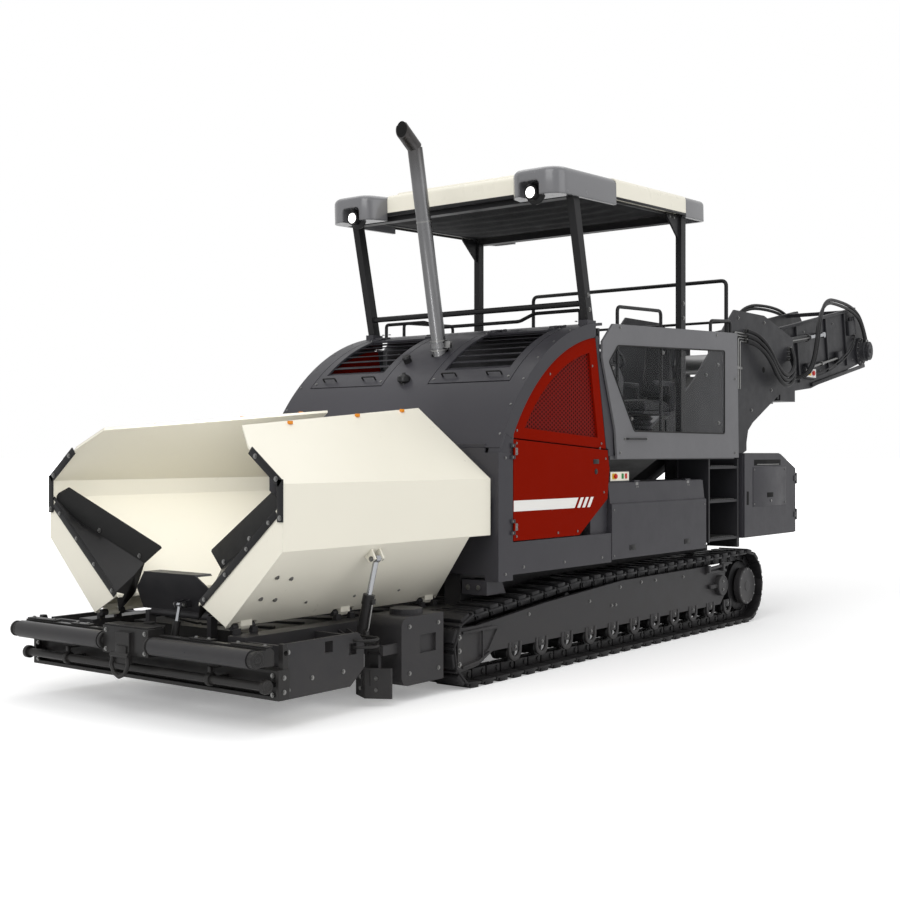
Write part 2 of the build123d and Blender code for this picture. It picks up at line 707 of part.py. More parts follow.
def locker_door():
    # the pressed locker door, hung at its top edge
    x = locker_x
    z0, z1 = locker_low + 3, locker_high - 4
    outer = ((x + gap, z1), (x + 18, z1), (x + 38, 1322), (x + 58, 1308), (x + 58, z0), (x + gap, z0))
    inner = ((x - 6, z1 - 16), (x + 3, z1 - 16), (x + 22, 1318), (x + 42, 1302), (x + 42, z0 + 16),
             (x - 6, z0 + 16))
    tray = slab_y(outer, locker_front + 2, locker_rear - 2)
    tray -= slab_y(inner, locker_front + 18, locker_rear - 18)
    first, second = [(x + 14, y, locker_high + 6) for y in locker_hinges]
    pins = [knuckle(first, (0, 1, 0), 8, 50),
            prism(shifted(second, (0, 1, 0), -25), shifted(second, (0, 1, 0), 25), 8)]
    leaves = [block((x + 4, x + 20), (y - 25, y + 25), (z1 - 6, locker_high + 6)) for y in locker_hinges]
    return weld(tray, *pins, *leaves)


def box_outline(inset):
    # the tool box seen from the side, with its chamfered rear top corner
    return ((box_front + inset, box_low + inset), (box_rear - inset, box_low + inset),
            (box_rear - inset, 1595 - inset / 2), (3280 - inset / 2, box_high - inset),
            (box_front + inset, box_high - inset))


def tool_box():
    shell = slab_x(box_outline(0), rail_out + 2, box_x) - slab_x(box_outline(16), rail_out + 20, box_x + 10)
    pieces = [shell]
    for z in box_hinges:
        pieces += knuckle_ends((box_pin_x, box_rear + 6, z), (0, 0, 1), 8, 60)
        pieces += [block((box_x - 52, box_pin_x), (box_rear - 2, box_rear + 10), (z + d, z + d + 29))
                   for d in (31, -60)]
    return weld(*pieces)


def tool_lid():
    # the face door of the tool box, hung at its rear edge
    panel = slab_x(box_outline(8), box_x + gap, body_half)
    first, second = [(box_pin_x, box_rear + 6, z) for z in box_hinges]
    pins = [knuckle(first, (0, 0, 1), 8, 60),
            prism(shifted(second, (0, 0, 1), -30), shifted(second, (0, 0, 1), 30), 8)]
    leaves = [block((body_half - 4, body_half + 8), (box_rear - 60, box_rear + 6), (z - 30, z + 30))
              for z in box_hinges]
    return weld(panel, *pins, *leaves)


def ladder():
    # the recessed steps up to the platform and the plate behind them
    x0, x1 = rail_out + 2, body_half - 35
    front, rear = locker_rear + 120, box_front - 15
    back = block((x0, x0 + 18), (front, rear), (870, deck_z - gap))
    sides = [block((x0, x1), (y, y + 26), (870, deck_z - gap)) for y in (front + 10, rear - 77)]
    steps = [block((x0 + 13, x1 - 5), (front + 30, rear - 70), (z, z + 26)) for z in (880, 1260, 1600)]
    skirt = block((x0, x1 - 15), (rear - 55, rear), (790, deck_z - gap))
    return weld(back, *sides, *steps, skirt)


def deck():
    # the platform floor on both sides, the cover over the belt and the bulkhead behind the engine
    top = deck_z + deck_thick
    notch = panel_x - 6
    side = slab_z(((720, arch_rear + 30), (notch, arch_rear + 30), (notch, locker_front),
                   (deck_half, locker_front), (deck_half, platform_rear), (720, platform_rear)), deck_z, top)
    cover = slab_x(((arch_rear + 30, deck_z), (700, deck_z), (1690, 2180), (1690, 2210), (690, top),
                    (arch_rear + 30, top)), gap - 720, 720 - gap)
    wide = body_half - 60
    bulkhead = block((-wide, wide), (arch_rear + 30, arch_rear + 60), (top + gap, arch_top - 40))
    return group(side, other(side), cover, bulkhead)


def shield():
    # the wind shield plate beside the operator with its slanting window
    rear = platform_rear + 30
    outline = ((-320, 2885), (rear, 2985), (rear + 35, 1712), (-252, 1706), (-280, 1960), (-500, 2580),
               (-500, 2720))
    plate = slab_x(outline, deck_half + gap, body_half + 6)
    return plate - slab_x(window_outline(), body_half - 50, body_half + 50)


def window_outline():
    rear = platform_rear - 270
    return ((-240, 2700), (rear, 2785), (rear, 1955), (50, 1955), (-390, 2550))


def shield_glass():
    pane = slab_x(window_outline(), body_half - 9, body_half - 3)
    return scale(pane, by=(1, 0.9995, 0.9995)).moved(Location((0, 0.4, 1.1)))


def seat_and_console():
    # the operator's seat on its pedestal and the console in front of it
    top = deck_z + deck_thick
    base = block((seat_x - 100, seat_x + 100), (560, 840), (top + gap, 2130))
    pad = block((seat_x - 200, seat_x + 200), (450, 1000), (2130 + gap, 2260))
    back = slab_x(((975, 2260 + gap), (990, 2260 + gap), (1075, 2300), (1150, 2860), (1080, 2860)),
                  seat_x - 150, seat_x + 150)
    console = slab_x(((-260, top + gap), (-60, top + gap), (40, 2420), (-60, 2560), (-260, 2560)),
                     seat_x - 180, body_half - 70)
    return [base, pad, back, console]


def front_arch():
    # the two leaning front posts with their head beam and the cross rail over the hood
    leg = slab_x(((post_front_low - 45, 2890 + gap), (post_front_low + 45, 2890 + gap),
                  (post_front_top + 45, 3915), (post_front_top - 45, 3915)), post_x - 35, post_x + 35)
    head = block((-post_x - 35, post_x + 35), (post_front_top - 45, post_front_top + 45), (3905, 3971))
    rail = prism((-post_x, -690, 3035), (post_x, -690, 3035), 26)
    return weld(leg, other(leg), head, rail)


def rear_arch():
    # the two rear posts with their gussets and head beam
    leg = block((post_x - 30, post_x + 30), (post_rear - 45, post_rear + 45),
                (deck_z + deck_thick + gap, 4041))
    gusset = slab_x(((post_rear - 40, 3780), (post_rear - 40, 4020), (post_rear - 290, 4012),
                     (post_rear - 290, 3990)), post_x - 8, post_x + 8)
    head = block((-post_x - 30, post_x + 30), (post_rear - 45, post_rear + 45), (3970, 4041))
    return weld(leg, other(leg), gusset, other(gusset), head)


def roof_place(piece):
    # from the canopy's own level frame to its slightly tilted place
    return Pos(0, 0, roof_z) * Rot(roof_tilt, 0, 0) * piece


def roof():
    # the cream canopy shell between its moulded corners, with a low crown
    plan = ((-740, -1000), (740, -1000), (740, -290), (roof_half, -290), (roof_half, 1020), (1000, 1020),
            (1000, 1440), (-1000, 1440), (-1000, 1020), (-roof_half, 1020), (-roof_half, -290), (-740, -290))
    side = roof_half - 90
    crown = ((-700, -960), (700, -960), (side, -200), (side, 1380), (-side, 1380), (-side, -200))
    return roof_place(weld(slab_z(plan, 0, roof_deep), slab_z(crown, roof_deep - 5, roof_deep + 30)))


def roof_corners():
    # the grey moulded corners, the front ones with a pocket for the working lamp
    front = slab_z(((740 + gap, -1000), (790, -1190), (860, -1235), (roof_half - 180, -1235),
                    (roof_half - 45, -1180), (roof_half, -1060), (roof_half, -290 - gap),
                    (740 + gap, -290 - gap)), -70, roof_deep - 6)
    front -= block((700, roof_half - 34), (-960, 0), (-80, 0))
    front -= block((lamp_x - 85, lamp_x + 85), (-1400, -1130), (-200, 60))
    rear = slab_z(((1000 + gap, 1020 + gap), (roof_half, 1020 + gap), (roof_half, 1380),
                   (roof_half - 70, 1460), (1000 + gap, 1460)), 0, roof_deep - 5)
    return [roof_place(front), roof_place(rear)]


def lamp():
    return roof_place(prism((lamp_x, -1215, -25), (lamp_x, -1130 - gap, -25), lamp_r, 24))


def exhaust():
    # the heat-shielded stack leaning forward, with a clamp at its foot and a slash-cut tip
    base = prism((100, -1195, 2150 + gap), (100, -1195, 2230), 90, wheel_sides)
    pipe = bar(exhaust_foot, exhaust_bend, exhaust_r)
    tip = bar(exhaust_bend, (100, -1830, 4470), exhaust_r)
    tip -= block((0, 200), (-2100, -1815), (4200, 4700))
    clamp = prism(toward(exhaust_foot, exhaust_bend, 480), toward(exhaust_foot, exhaust_bend, 520), 78, 24)
    return weld(base, pipe, tip, clamp)


def rails():
    # the bent hand rails: over the hood, on the shields and behind the platform
    floor = deck_z + deck_thick + gap
    out, side, rear, y = body_half - 160, body_half - 35, body_half - 70, platform_rear - 70
    hood_rail = tube(((out, -600, 2872), (out, -600, 2990), (620, -600, 2990), (460, -600, 2930),
                      (-460, -600, 2930), (-620, -600, 2990), (-out, -600, 2990), (-out, -600, 2872)), 16)
    side_rail = tube(((side, -180, floor), (side, -180, 3050), (side, 620, 3080), (side, 620, floor)), 16)
    rear_rail = tube(((rear, y, floor), (rear, y, 3520), (-rear, y, 3520), (-rear, y, floor)), 20)
    mid_rail = prism((10 - rear, y, 3100), (rear - 10, y, 3100), 14)
    return group(hood_rail, side_rail, other(side_rail), weld(rear_rail, mid_rail))


def belt_slope():
    return (head_z + head_r - belt_z - 220) / (head_y - belt_bend)


def conveyor_side():
    # the shaped side plate of the rising conveyor with its brackets to the tool boxes
    outline = ((1700, 1150), (3616, 1790), (3616, 1880), (3660, 2020), (3788, 2111), (4532, 2457),
               (slew_y - 150, 2560), (slew_y - 210, 2760), (slew_y - 210, 3150), (4100, 3360), (3300, 3360),
               (2350, 2560), (1700, 2100))
    plate = slab_x(outline, rail_in - 20, rail_in)
    near = block((rail_in - 10, rail_out + 2 - gap), (2450, 2520), (1500, 1600))
    far = block((rail_in - 10, rail_out + 2 - gap), (3300, 3400), (1720, 1750))
    return weld(plate, near, far)


def conveyor_frame():
    # both side plates, the rising floor, the drum's axle and the shelf for the slewing ring
    low = belt_z - belt_deep - gap
    up = low + belt_slope() * (head_y - belt_bend - 200)
    floor = slab_x(((belt_bend, low), (head_y - 200, up), (head_y - 200, up - 20), (belt_bend, low - 20)),
                   gap - 680, 680 - gap)
    shelf = block((-690, 690), (4560, 5000), (shelf_z - 20, shelf_z))
    hanger = block((680, 700), (4560, 5000), (shelf_z - 20, 2600))
    tongue = slab_z(((-350, 4990), (350, 4990), (230, 5430), (-230, 5430)), shelf_z - 20, shelf_z)
    axle = prism((-690, head_y, head_z), (690, head_y, head_z), 30)
    sides = [conveyor_side(), other(conveyor_side()), hanger, other(hanger)]
    return group(weld(*sides, shelf, tongue, axle), floor)


def main_belt():
    # the feeder belt: level under the hopper, then rising to its head
    y1 = head_y - 140
    up = belt_z + belt_slope() * (y1 - belt_bend)
    deep = belt_deep - gap
    outline = ((belt_front, belt_z - deep), (belt_front, belt_z), (belt_bend, belt_z), (y1, up),
               (y1, up - deep), (belt_bend, belt_z - deep))
    return slab_x(outline, -belt_half, belt_half)


def main_drum():
    drum = bar((-belt_half, head_y, head_z), (belt_half, head_y, head_z), head_r)
    return drum - prism((-700, head_y, head_z), (700, head_y, head_z), 30 + fit, bore=True)


def turntable():
    # the slewing ring, its base and the two masts that carry the swivel conveyor
    base = bar((0, slew_y, shelf_z + gap), (0, slew_y, shelf_z + 40), 260)
    cross = block((-470, 470), (slew_y - 130, slew_y + 130), (shelf_z + 2, shelf_z + 40))
    foot_x, foot_y, foot_z = lift_foot
    mast = slab_x(((slew_y - 140, shelf_z + 5), (slew_y + 120, shelf_z + 5), (slew_y + 100, lift_z + 70),
                   (foot_y + 50, foot_z + 60), (foot_y - 50, foot_z + 60), (slew_y - 150, lift_z)), 440, 470)
    pin = prism((465, foot_y, foot_z), (foot_x + 45, foot_y, foot_z), lift_cylinder["pin_r"])
    body = weld(base, cross, mast, other(mast), pin, other(pin))
    return body - prism((-600, slew_y, lift_z), (600, slew_y, lift_z), 25 + fit, bore=True)


def tilted(piece):
    # from the swivel conveyor's own level frame to its place on the machine
    return Pos(0, slew_y, lift_z) * Rot(swivel_tilt, 0, 0) * piece


def swivel_frame():
    # the tail hopper, side plates, floor and drum motor of the swivel conveyor
    head = swivel_head
    outline = ((-195, -225), (320, -274), (1000, -330), (head + 100, -230), (head + 150, 200),
               (head - 150, 560), (90, 560), (60, 30), (-195, 0))
    plate = slab_x(outline, swivel_half - 16, swivel_half)
    trunnion = bar((swivel_half - 1, 0, 0), (434, 0, 0), 60)
    pin = prism((swivel_half - 1, 0, 0), (472, 0, 0), 25)
    side = [plate, trunnion, pin]
    floor = block((-404, 404), (-195, head - 400), (-222, -207))
    axle = prism((-410, head, swivel_drop), (410, head, swivel_drop), 25)
    brace = block((-410, 410), (head - 500, head - 440), (500, 550))
    shell = weld(floor, axle, brace, *side, *[other(p) for p in side])
    motor = prism((swivel_half + gap, head, swivel_drop), (swivel_half + 130, head, swivel_drop), 130, 24)
    lug = prism((swivel_half + gap, 1300, 330), (482, 1300, 330), 34, wheel_sides)
    return tilted(group(shell, motor, lug, other(lug)))


def swivel_belt():
    top = block((-380, 380), (-150, swivel_head), (15 + gap, 35))
    low = block((-380, 380), (-150, swivel_head), (-185, -165 - gap))
    end = block((-380, 380), (-170, -150), (-185, 35))
    return tilted(weld(top, low, end))


def swivel_drum():
    drum = bar((-380, swivel_head, swivel_drop), (380, swivel_head, swivel_drop), 90)
    bore = prism((-400, swivel_head, swivel_drop), (400, swivel_head, swivel_drop), 25 + fit, bore=True)
    return tilted(drum - bore)


def build():
    x_way, y_way = (1, 0, 0), (0, 1, 0)
    wing_barrel = cylinder_barrel(wing_foot, wing_eye, y_way, wing_cylinder)
    wing_rod = cylinder_rod(wing_foot, wing_eye, y_way, wing_cylinder)
    lift_barrel = cylinder_barrel(lift_foot, lift_eye, x_way, lift_cylinder)
    lift_rod = cylinder_rod(lift_foot, lift_eye, x_way, lift_cylinder)
    nodes = {
        "main_frame": main_frame(),
        "hopper_frame": left_right(*hopper_side(), *hinge_seats(), *gate_posts()),
        "bumper": bumper(),
        "track_frames": left_right(track_frame()),
        "track_left": track(),
        "track_right": other(track()),
        "track_wheels": left_right(*track_wheel_set()),
        "final_drives": left_right(final_drive()),
        "push_beam": push_beam(),
        "push_roller_left": push_roller(),
        "push_roller_right": other(push_roller()),
        "wing_left": wing(),
        "wing_right": other(wing()),
        "flap_left": flap(),
        "flap_right": other(flap()),
        "wing_barrel_left": wing_barrel,
        "wing_barrel_right": other(wing_barrel),
        "wing_rod_left": wing_rod,
        "wing_rod_right": other(wing_rod),
        "gate": gate(),
        "gate_barrel": cylinder_barrel(gate_foot, gate_eye, x_way, gate_cylinder),
        "gate_rod": cylinder_rod(gate_foot, gate_eye, x_way, gate_cylinder),
        "scraper_left": scraper(),
        "scraper_right": other(scraper()),
        "engine": engine(),
        "hood": hood(),
        "hatch_left": hatch(),
        "hatch_right": other(hatch()),
        "exhaust": exhaust(),
        "body_sides": group(left_right(body_side()), front_wall()),
        "mesh_panels": left_right(mesh_panel()),
        "side_door_left": side_door(),
        "side_door_right": other(side_door()),
        "lockers": left_right(locker()),
        "locker_door_left": locker_door(),
        "locker_door_right": other(locker_door()),
        "tool_boxes": left_right(tool_box()),
        "tool_lid_left": tool_lid(),
        "tool_lid_right": other(tool_lid()),
        "ladders": left_right(ladder()),
        "deck": deck(),
        "shields": left_right(shield()),
        "shield_glass": left_right(shield_glass()),
        "seats": left_right(*seat_and_console()),
        "posts": group(front_arch(), rear_arch()),
        "canopy": roof(),
        "canopy_corners": left_right(*roof_corners()),
        "lamps": left_right(lamp()),
        "rails": rails(),
        "conveyor_frame": conveyor_frame(),
        "main_belt": main_belt(),
        "main_drum": main_drum(),
        "turntable": turntable(),
        "swivel_frame": swivel_frame(),
        "swivel_belt": swivel_belt(),
        "swivel_drum": swivel_drum(),
        "lift_barrel_left": lift_barrel,
        "lift_barrel_right": other(lift_barrel),
        "lift_rod_left": lift_rod,
        "lift_rod_right": other(lift_rod),
    }
    boxes = [piece.bounding_box() for piece in nodes.values()]
    front = min(b.min.Y for b in boxes)
    rear = max(b.max.Y for b in boxes)
    centred = Location((0, -(front + rear) / 2, 0))
    print("length", rear - front, "shift", -(front + rear) / 2)
    os.makedirs("parts", exist_ok=True)
    for name, piece in nodes.items():
        export_step(piece.moved(centred), os.path.join("parts", name + ".step"))


build()
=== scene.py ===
import bpy
import bmesh
import math
from itertools import product
from mathutils import Matrix, Vector


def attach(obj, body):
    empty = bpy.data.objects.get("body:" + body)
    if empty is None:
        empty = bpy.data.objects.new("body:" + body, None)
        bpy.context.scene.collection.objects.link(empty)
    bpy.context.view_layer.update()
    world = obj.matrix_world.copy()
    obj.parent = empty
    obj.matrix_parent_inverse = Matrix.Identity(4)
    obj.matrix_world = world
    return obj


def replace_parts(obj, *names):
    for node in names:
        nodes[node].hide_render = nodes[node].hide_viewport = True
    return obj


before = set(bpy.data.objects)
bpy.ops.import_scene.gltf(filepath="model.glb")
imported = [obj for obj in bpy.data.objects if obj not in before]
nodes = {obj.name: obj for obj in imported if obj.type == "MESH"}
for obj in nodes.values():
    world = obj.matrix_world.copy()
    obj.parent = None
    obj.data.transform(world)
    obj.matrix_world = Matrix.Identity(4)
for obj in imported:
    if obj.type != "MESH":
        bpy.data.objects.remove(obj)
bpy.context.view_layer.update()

BOTH = (1, -1)
SIDES = (("left", 1), ("right", -1))

# Main frame: two deep rails, the belt floor and the hopper's side plates.
# Welded steel plate in a satin dark grey coat, bolted to the track frames.
# The coat is a little uneven, and dustier towards the ground.
TRACK_MID = -1.74996
DUST_COLOUR = (0.20, 0.18, 0.155, 1.0)
FLOAT, VECTOR = "NodeSocketFloat", "NodeSocketVector"


def at(x, y, z):
    return Vector((x, y + TRACK_MID, z))


def new_group(name, outputs, inputs):
    group = bpy.data.node_groups.new(name, "ShaderNodeTree")
    for label, value in inputs:
        group.interface.new_socket(label, in_out="INPUT", socket_type=FLOAT).default_value = value
    for label, kind in outputs:
        group.interface.new_socket(label, in_out="OUTPUT", socket_type=kind)
    return group, group.nodes.new("NodeGroupInput"), group.nodes.new("NodeGroupOutput")


def add_node(tree, kind, **settings):
    node = tree.nodes.new(kind)
    for key, value in settings.items():
        setattr(node, key, value)
    return node


def plug(tree, value, socket):
    if isinstance(value, (int, float, tuple)):
        socket.default_value = value
    else:
        tree.links.new(value, socket)


def math_node(tree, operation, first, second=0.0, clamp=False):
    node = add_node(tree, "ShaderNodeMath", operation=operation, use_clamp=clamp)
    plug(tree, first, node.inputs[0])
    plug(tree, second, node.inputs[1])
    return node.outputs[0]


def ramp(tree, value, start, slope, clamp=True):
    return math_node(tree, "MULTIPLY", math_node(tree, "SUBTRACT", value, start), slope, clamp)


def mix_node(tree, factor, first, second, blend="MIX"):
    node = add_node(tree, "ShaderNodeMix", data_type="RGBA", blend_type=blend)
    for label, value in (("Factor", factor), ("A", first), ("B", second)):
        plug(tree, value, node.inputs[label])
    return node.outputs["Result"]


def bump_node(tree, height, strength, distance, normal=None, invert=False):
    node = add_node(tree, "ShaderNodeBump", invert=invert)
    node.inputs["Strength"].default_value = strength
    node.inputs["Distance"].default_value = distance
    tree.links.new(height, node.inputs["Height"])
    if normal is not None:
        tree.links.new(normal, node.inputs["Normal"])
    return node.outputs["Normal"]


def axes(tree, coordinate="Object"):
    place = add_node(tree, "ShaderNodeTexCoord")
    split = add_node(tree, "ShaderNodeSeparateXYZ")
    tree.links.new(place.outputs[coordinate], split.inputs[0])
    return split.outputs


def noise_node(tree, scale, detail=3.0, rough=0.5):
    where = add_node(tree, "ShaderNodeTexCoord")
    noise = add_node(tree, "ShaderNodeTexNoise")
    for label, value in (("Scale", scale), ("Detail", detail), ("Roughness", rough)):
        noise.inputs[label].default_value = value
    tree.links.new(where.outputs["Object"], noise.inputs["Vector"])
    return noise.outputs["Fac"]


def make_weather():
    group, enter, leave = new_group(
        "weather", (("Tone", FLOAT), ("Dust", FLOAT), ("Gloss", FLOAT), ("Height", FLOAT)),
        (("Dust height", 1.2), ("Spread", 0.1)))
    broad = noise_node(group, 0.9, 4.0, 0.55)
    patchy = noise_node(group, 6.0, 6.0, 0.62)
    fine = noise_node(group, 130.0, 2.0)
    spread = ramp(group, broad, 0.5, enter.outputs["Spread"], False)
    drop = math_node(group, "DIVIDE", axes(group)["Z"], enter.outputs["Dust height"])
    low = math_node(group, "SUBTRACT", 1.0, drop, True)
    upward = math_node(group, "MULTIPLY", axes(group, "Normal")["Z"], 0.25, True)
    mottled = math_node(group, "MULTIPLY", math_node(group, "ADD", low, upward), patchy)
    uneven = math_node(group, "ADD", fine, math_node(group, "MULTIPLY", patchy, 0.4))
    for label, value in (("Tone", math_node(group, "ADD", spread, 1.0)),
                         ("Dust", math_node(group, "MULTIPLY", mottled, 0.6, True)),
                         ("Gloss", ramp(group, patchy, 0.5, 0.35, False)), ("Height", uneven)):
        group.links.new(value, leave.inputs[label])
    return group


def make_edge_wear():
    group, enter, leave = new_group("edge_wear", (("Wear", FLOAT), ("Normal", VECTOR)), (("Radius", 0.006),))
    soft = add_node(group, "ShaderNodeBevel", samples=4)
    group.links.new(enter.outputs["Radius"], soft.inputs["Radius"])
    flat = add_node(group, "ShaderNodeNewGeometry")
    turned = add_node(group, "ShaderNodeVectorMath", operation="DOT_PRODUCT")
    group.links.new(soft.outputs["Normal"], turned.inputs[0])
    group.links.new(flat.outputs["Normal"], turned.inputs[1])
    lifted = math_node(group, "SUBTRACT", 1.0, turned.outputs["Value"])
    rim = math_node(group, "MULTIPLY", lifted, 2.2, True)
    scuffed = ramp(group, noise_node(group, 14.0, 5.0, 0.65), 0.42, 3.0)
    group.links.new(math_node(group, "MULTIPLY", rim, scuffed), leave.inputs["Wear"])
    group.links.new(soft.outputs["Normal"], leave.inputs["Normal"])
    return group


weather = make_weather()
edge_wear = make_edge_wear()


def new_material(name):
    material = bpy.data.materials.new(name)
    material.use_nodes = True
    return material, *shader_of(material)


def shader_of(material):
    return material.node_tree, material.node_tree.nodes["Principled BSDF"]


def painted(name, colour, rough, dust=0.5, spread=0.12, bump=0.03, metal=0.0, edge=0.006, gloss=0.22):
    material, tree, shader = new_material(name)
    aged = add_node(tree, "ShaderNodeGroup", node_tree=weather)
    aged.inputs["Spread"].default_value = spread
    tint = mix_node(tree, 1.0, (*colour, 1.0), aged.outputs["Tone"], "MULTIPLY")
    coat = mix_node(tree, math_node(tree, "MULTIPLY", aged.outputs["Dust"], dust), tint, DUST_COLOUR)
    normal = None
    if edge:
        worn = add_node(tree, "ShaderNodeGroup", node_tree=edge_wear)
        worn.inputs["Radius"].default_value = edge
        normal = worn.outputs["Normal"]
        rubbed = [0.06 + 0.85 * part for part in colour]
        coat = mix_node(tree, worn.outputs["Wear"], coat, (*rubbed, 1.0))
    bend = bump_node(tree, aged.outputs["Height"], bump, 0.01, normal)
    patchy_rough = math_node(tree, "ADD", aged.outputs["Gloss"], rough)
    for label, value in (("Base Color", coat), ("Normal", bend), ("Roughness", patchy_rough),
                         ("Metallic", metal), ("Specular IOR Level", gloss)):
        plug(tree, value, shader.inputs[label])
    return material


def dress(material, *names):
    for name in names:
        for place in nodes[name].material_slots:
            place.material = material


frame_paint = painted("frame_paint", (0.022, 0.022, 0.025), 0.40, dust=0.3)
dress(frame_paint, "main_frame", "hopper_frame", "track_frames", "engine", "conveyor_frame", "turntable",
      "swivel_frame", "ladders", "gate")


def place_box(bm, low, high, soft=0.004):
    made = bmesh.ops.create_cube(bm, size=1.0)["verts"]
    low, high = Vector(low), Vector(high)
    bmesh.ops.scale(bm, vec=high - low, verts=made)
    bmesh.ops.translate(bm, vec=(low + high) / 2, verts=made)
    soften(bm, made, soft)


def soften(bm, verts, soft):
    if soft:
        edges = list({edge for vert in verts for edge in vert.link_edges})
        bmesh.ops.bevel(bm, geom=edges, offset=soft, segments=2, profile=0.5, affect="EDGES", material=-1)


def slab(bm, x, half, ys, zs, soft=0.004, spot=at):
    place_box(bm, spot(x - half, ys[0], zs[0]), spot(x + half, ys[1], zs[1]), soft)


def place_rod(bm, start, end, radius, sides=24, tip=None):
    start, end = Vector(start), Vector(end)
    way = end - start
    turn = way.to_track_quat("Z", "Y").to_matrix().to_4x4()
    bmesh.ops.create_cone(bm, cap_ends=True, segments=sides, radius1=radius,
                          radius2=radius if tip is None else tip, depth=way.length,
                          matrix=Matrix.Translation((start + end) / 2) @ turn)


def pushed(bm, faces, push):
    grown = bmesh.ops.extrude_face_region(bm, geom=faces)["geom"]
    moved = [item for item in grown if isinstance(item, bmesh.types.BMVert)]
    bmesh.ops.translate(bm, vec=Vector(push), verts=moved)
    return moved


def place_plate(bm, outline, push, soft=0.002):
    face = bm.faces.new([bm.verts.new(point) for point in outline])
    moved = pushed(bm, [face], push)
    soften(bm, list(face.verts) + moved, soft)


def side_plate(bm, s, x, outline, thick, soft):
    place_plate(bm, [at(s * x, y, z) for y, z in outline], (s * thick, 0, 0), soft)


def place_bolts(bm, points, axis, radius=0.011):
    axis = Vector(axis)
    for point in points:
        point = Vector(point)
        place_rod(bm, point - axis * 0.002, point + axis * 0.003, radius * 1.45, 16)
        place_rod(bm, point + axis * 0.002, point + axis * radius * 0.9, radius, 6, radius * 0.93)


def side_bolts(bm, s, x, spots, radius=0.011, spot=at):
    place_bolts(bm, [spot(s * x, y, z) for y, z in spots], (s, 0, 0), radius)


def show(name, data):
    piece = bpy.data.objects.new(name, data)
    bpy.context.scene.collection.objects.link(piece)
    return piece


def settle(name, bm, material, body, turn=None):
    if turn is not None:
        bmesh.ops.transform(bm, matrix=turn, verts=bm.verts)
    bmesh.ops.recalc_face_normals(bm, faces=bm.faces)
    mesh = bpy.data.meshes.new(name)
    bm.to_mesh(mesh)
    bm.free()
    mesh.shade_smooth()
    mesh.set_sharp_from_angle(angle=math.radians(32))
    mesh.materials.append(material)
    piece = show(name, mesh)
    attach(piece, body)
    return piece


zinc = painted("zinc", (0.27, 0.27, 0.265), 0.36, dust=0.15, metal=1.0, edge=0.0)
bm = bmesh.new()
for s in BOTH:
    side_bolts(bm, s, 1.190, ((-4.27, 0.25), (-4.27, 0.49), (-3.75, 0.30), (-4.05, 0.30)))
    side_bolts(bm, s, 1.215, ((-3.08, 0.53), (-2.75, 0.53), (-2.75, 0.20), (-3.08, 0.20)))
settle("frame_bolts", bm, zinc, "chassis")

# Bumper and guard tube: a channel across the front with a round guard bar in front of it.
# The tube is held by clamp bands and closed with pressed end caps; all of it is painted black.
black_paint = painted("black_paint", (0.013, 0.013, 0.014), 0.36, dust=0.25)
dress(black_paint, "bumper", "push_beam", "gate_barrel", "wing_barrel_left", "wing_barrel_right",
      "lift_barrel_left", "lift_barrel_right", "posts")


def place_turned(bm, profile, centre, steps=32, axis=(1, 0, 0), flip=1):
    centre, axis = Vector(centre), Vector(axis)
    rim = [bm.verts.new(centre + axis * (along * flip) + Vector((0, 0, r))) for along, r in profile]
    lines = [bm.edges.new(pair) for pair in zip(rim, rim[1:])]
    bmesh.ops.spin(bm, geom=rim + lines, cent=centre, axis=axis, angle=2 * math.pi, steps=steps,
                   use_merge=True, use_duplicate=False)
    bmesh.ops.remove_doubles(bm, verts=bm.verts, dist=0.00002)


GUARD_Y, GUARD_Z = -4.5, 0.305
BAND = ((-0.018, 0.028), (-0.018, 0.040), (-0.012, 0.044), (0.012, 0.044), (0.018, 0.040), (0.018, 0.028))
END_CAP = ((1.236, 0.0), (1.242, 0.010), (1.239, 0.017), (1.239, 0.028), (1.244, 0.032), (1.244, 0.040),
           (1.236, 0.0455), (1.204, 0.0455), (1.204, 0.0))
bm = bmesh.new()
place_turned(bm, ((-1.204, 0.0), (-1.204, 0.0276), (1.204, 0.0276), (1.204, 0.0)), at(0, GUARD_Y, GUARD_Z))
for x in (-0.757, 0.719):
    place_turned(bm, BAND, at(x, GUARD_Y, GUARD_Z))
    slab(bm, x, 0.014, (GUARD_Y - 0.012, GUARD_Y + 0.012), (GUARD_Z + 0.036, GUARD_Z + 0.082))
    place_rod(bm, at(x, GUARD_Y, GUARD_Z + 0.07), at(x + 0.02, -4.385, GUARD_Z + 0.075), 0.007, 12)
for s in BOTH:
    place_turned(bm, END_CAP, at(0, GUARD_Y, GUARD_Z), flip=s)
settle("guard_tube", bm, black_paint, "chassis")
bm = bmesh.new()
place_bolts(bm, [at(x, -4.4305, z) for x, z in product((-1.21, 1.21), (0.245, 0.365))], (0, -1, 0))
place_bolts(bm, [at(s * 1.262, -4.38, z) for s, z in product(BOTH, (0.26, 0.35))], (1, 0, 0))
settle("bumper_bolts", bm, zinc, "chassis")

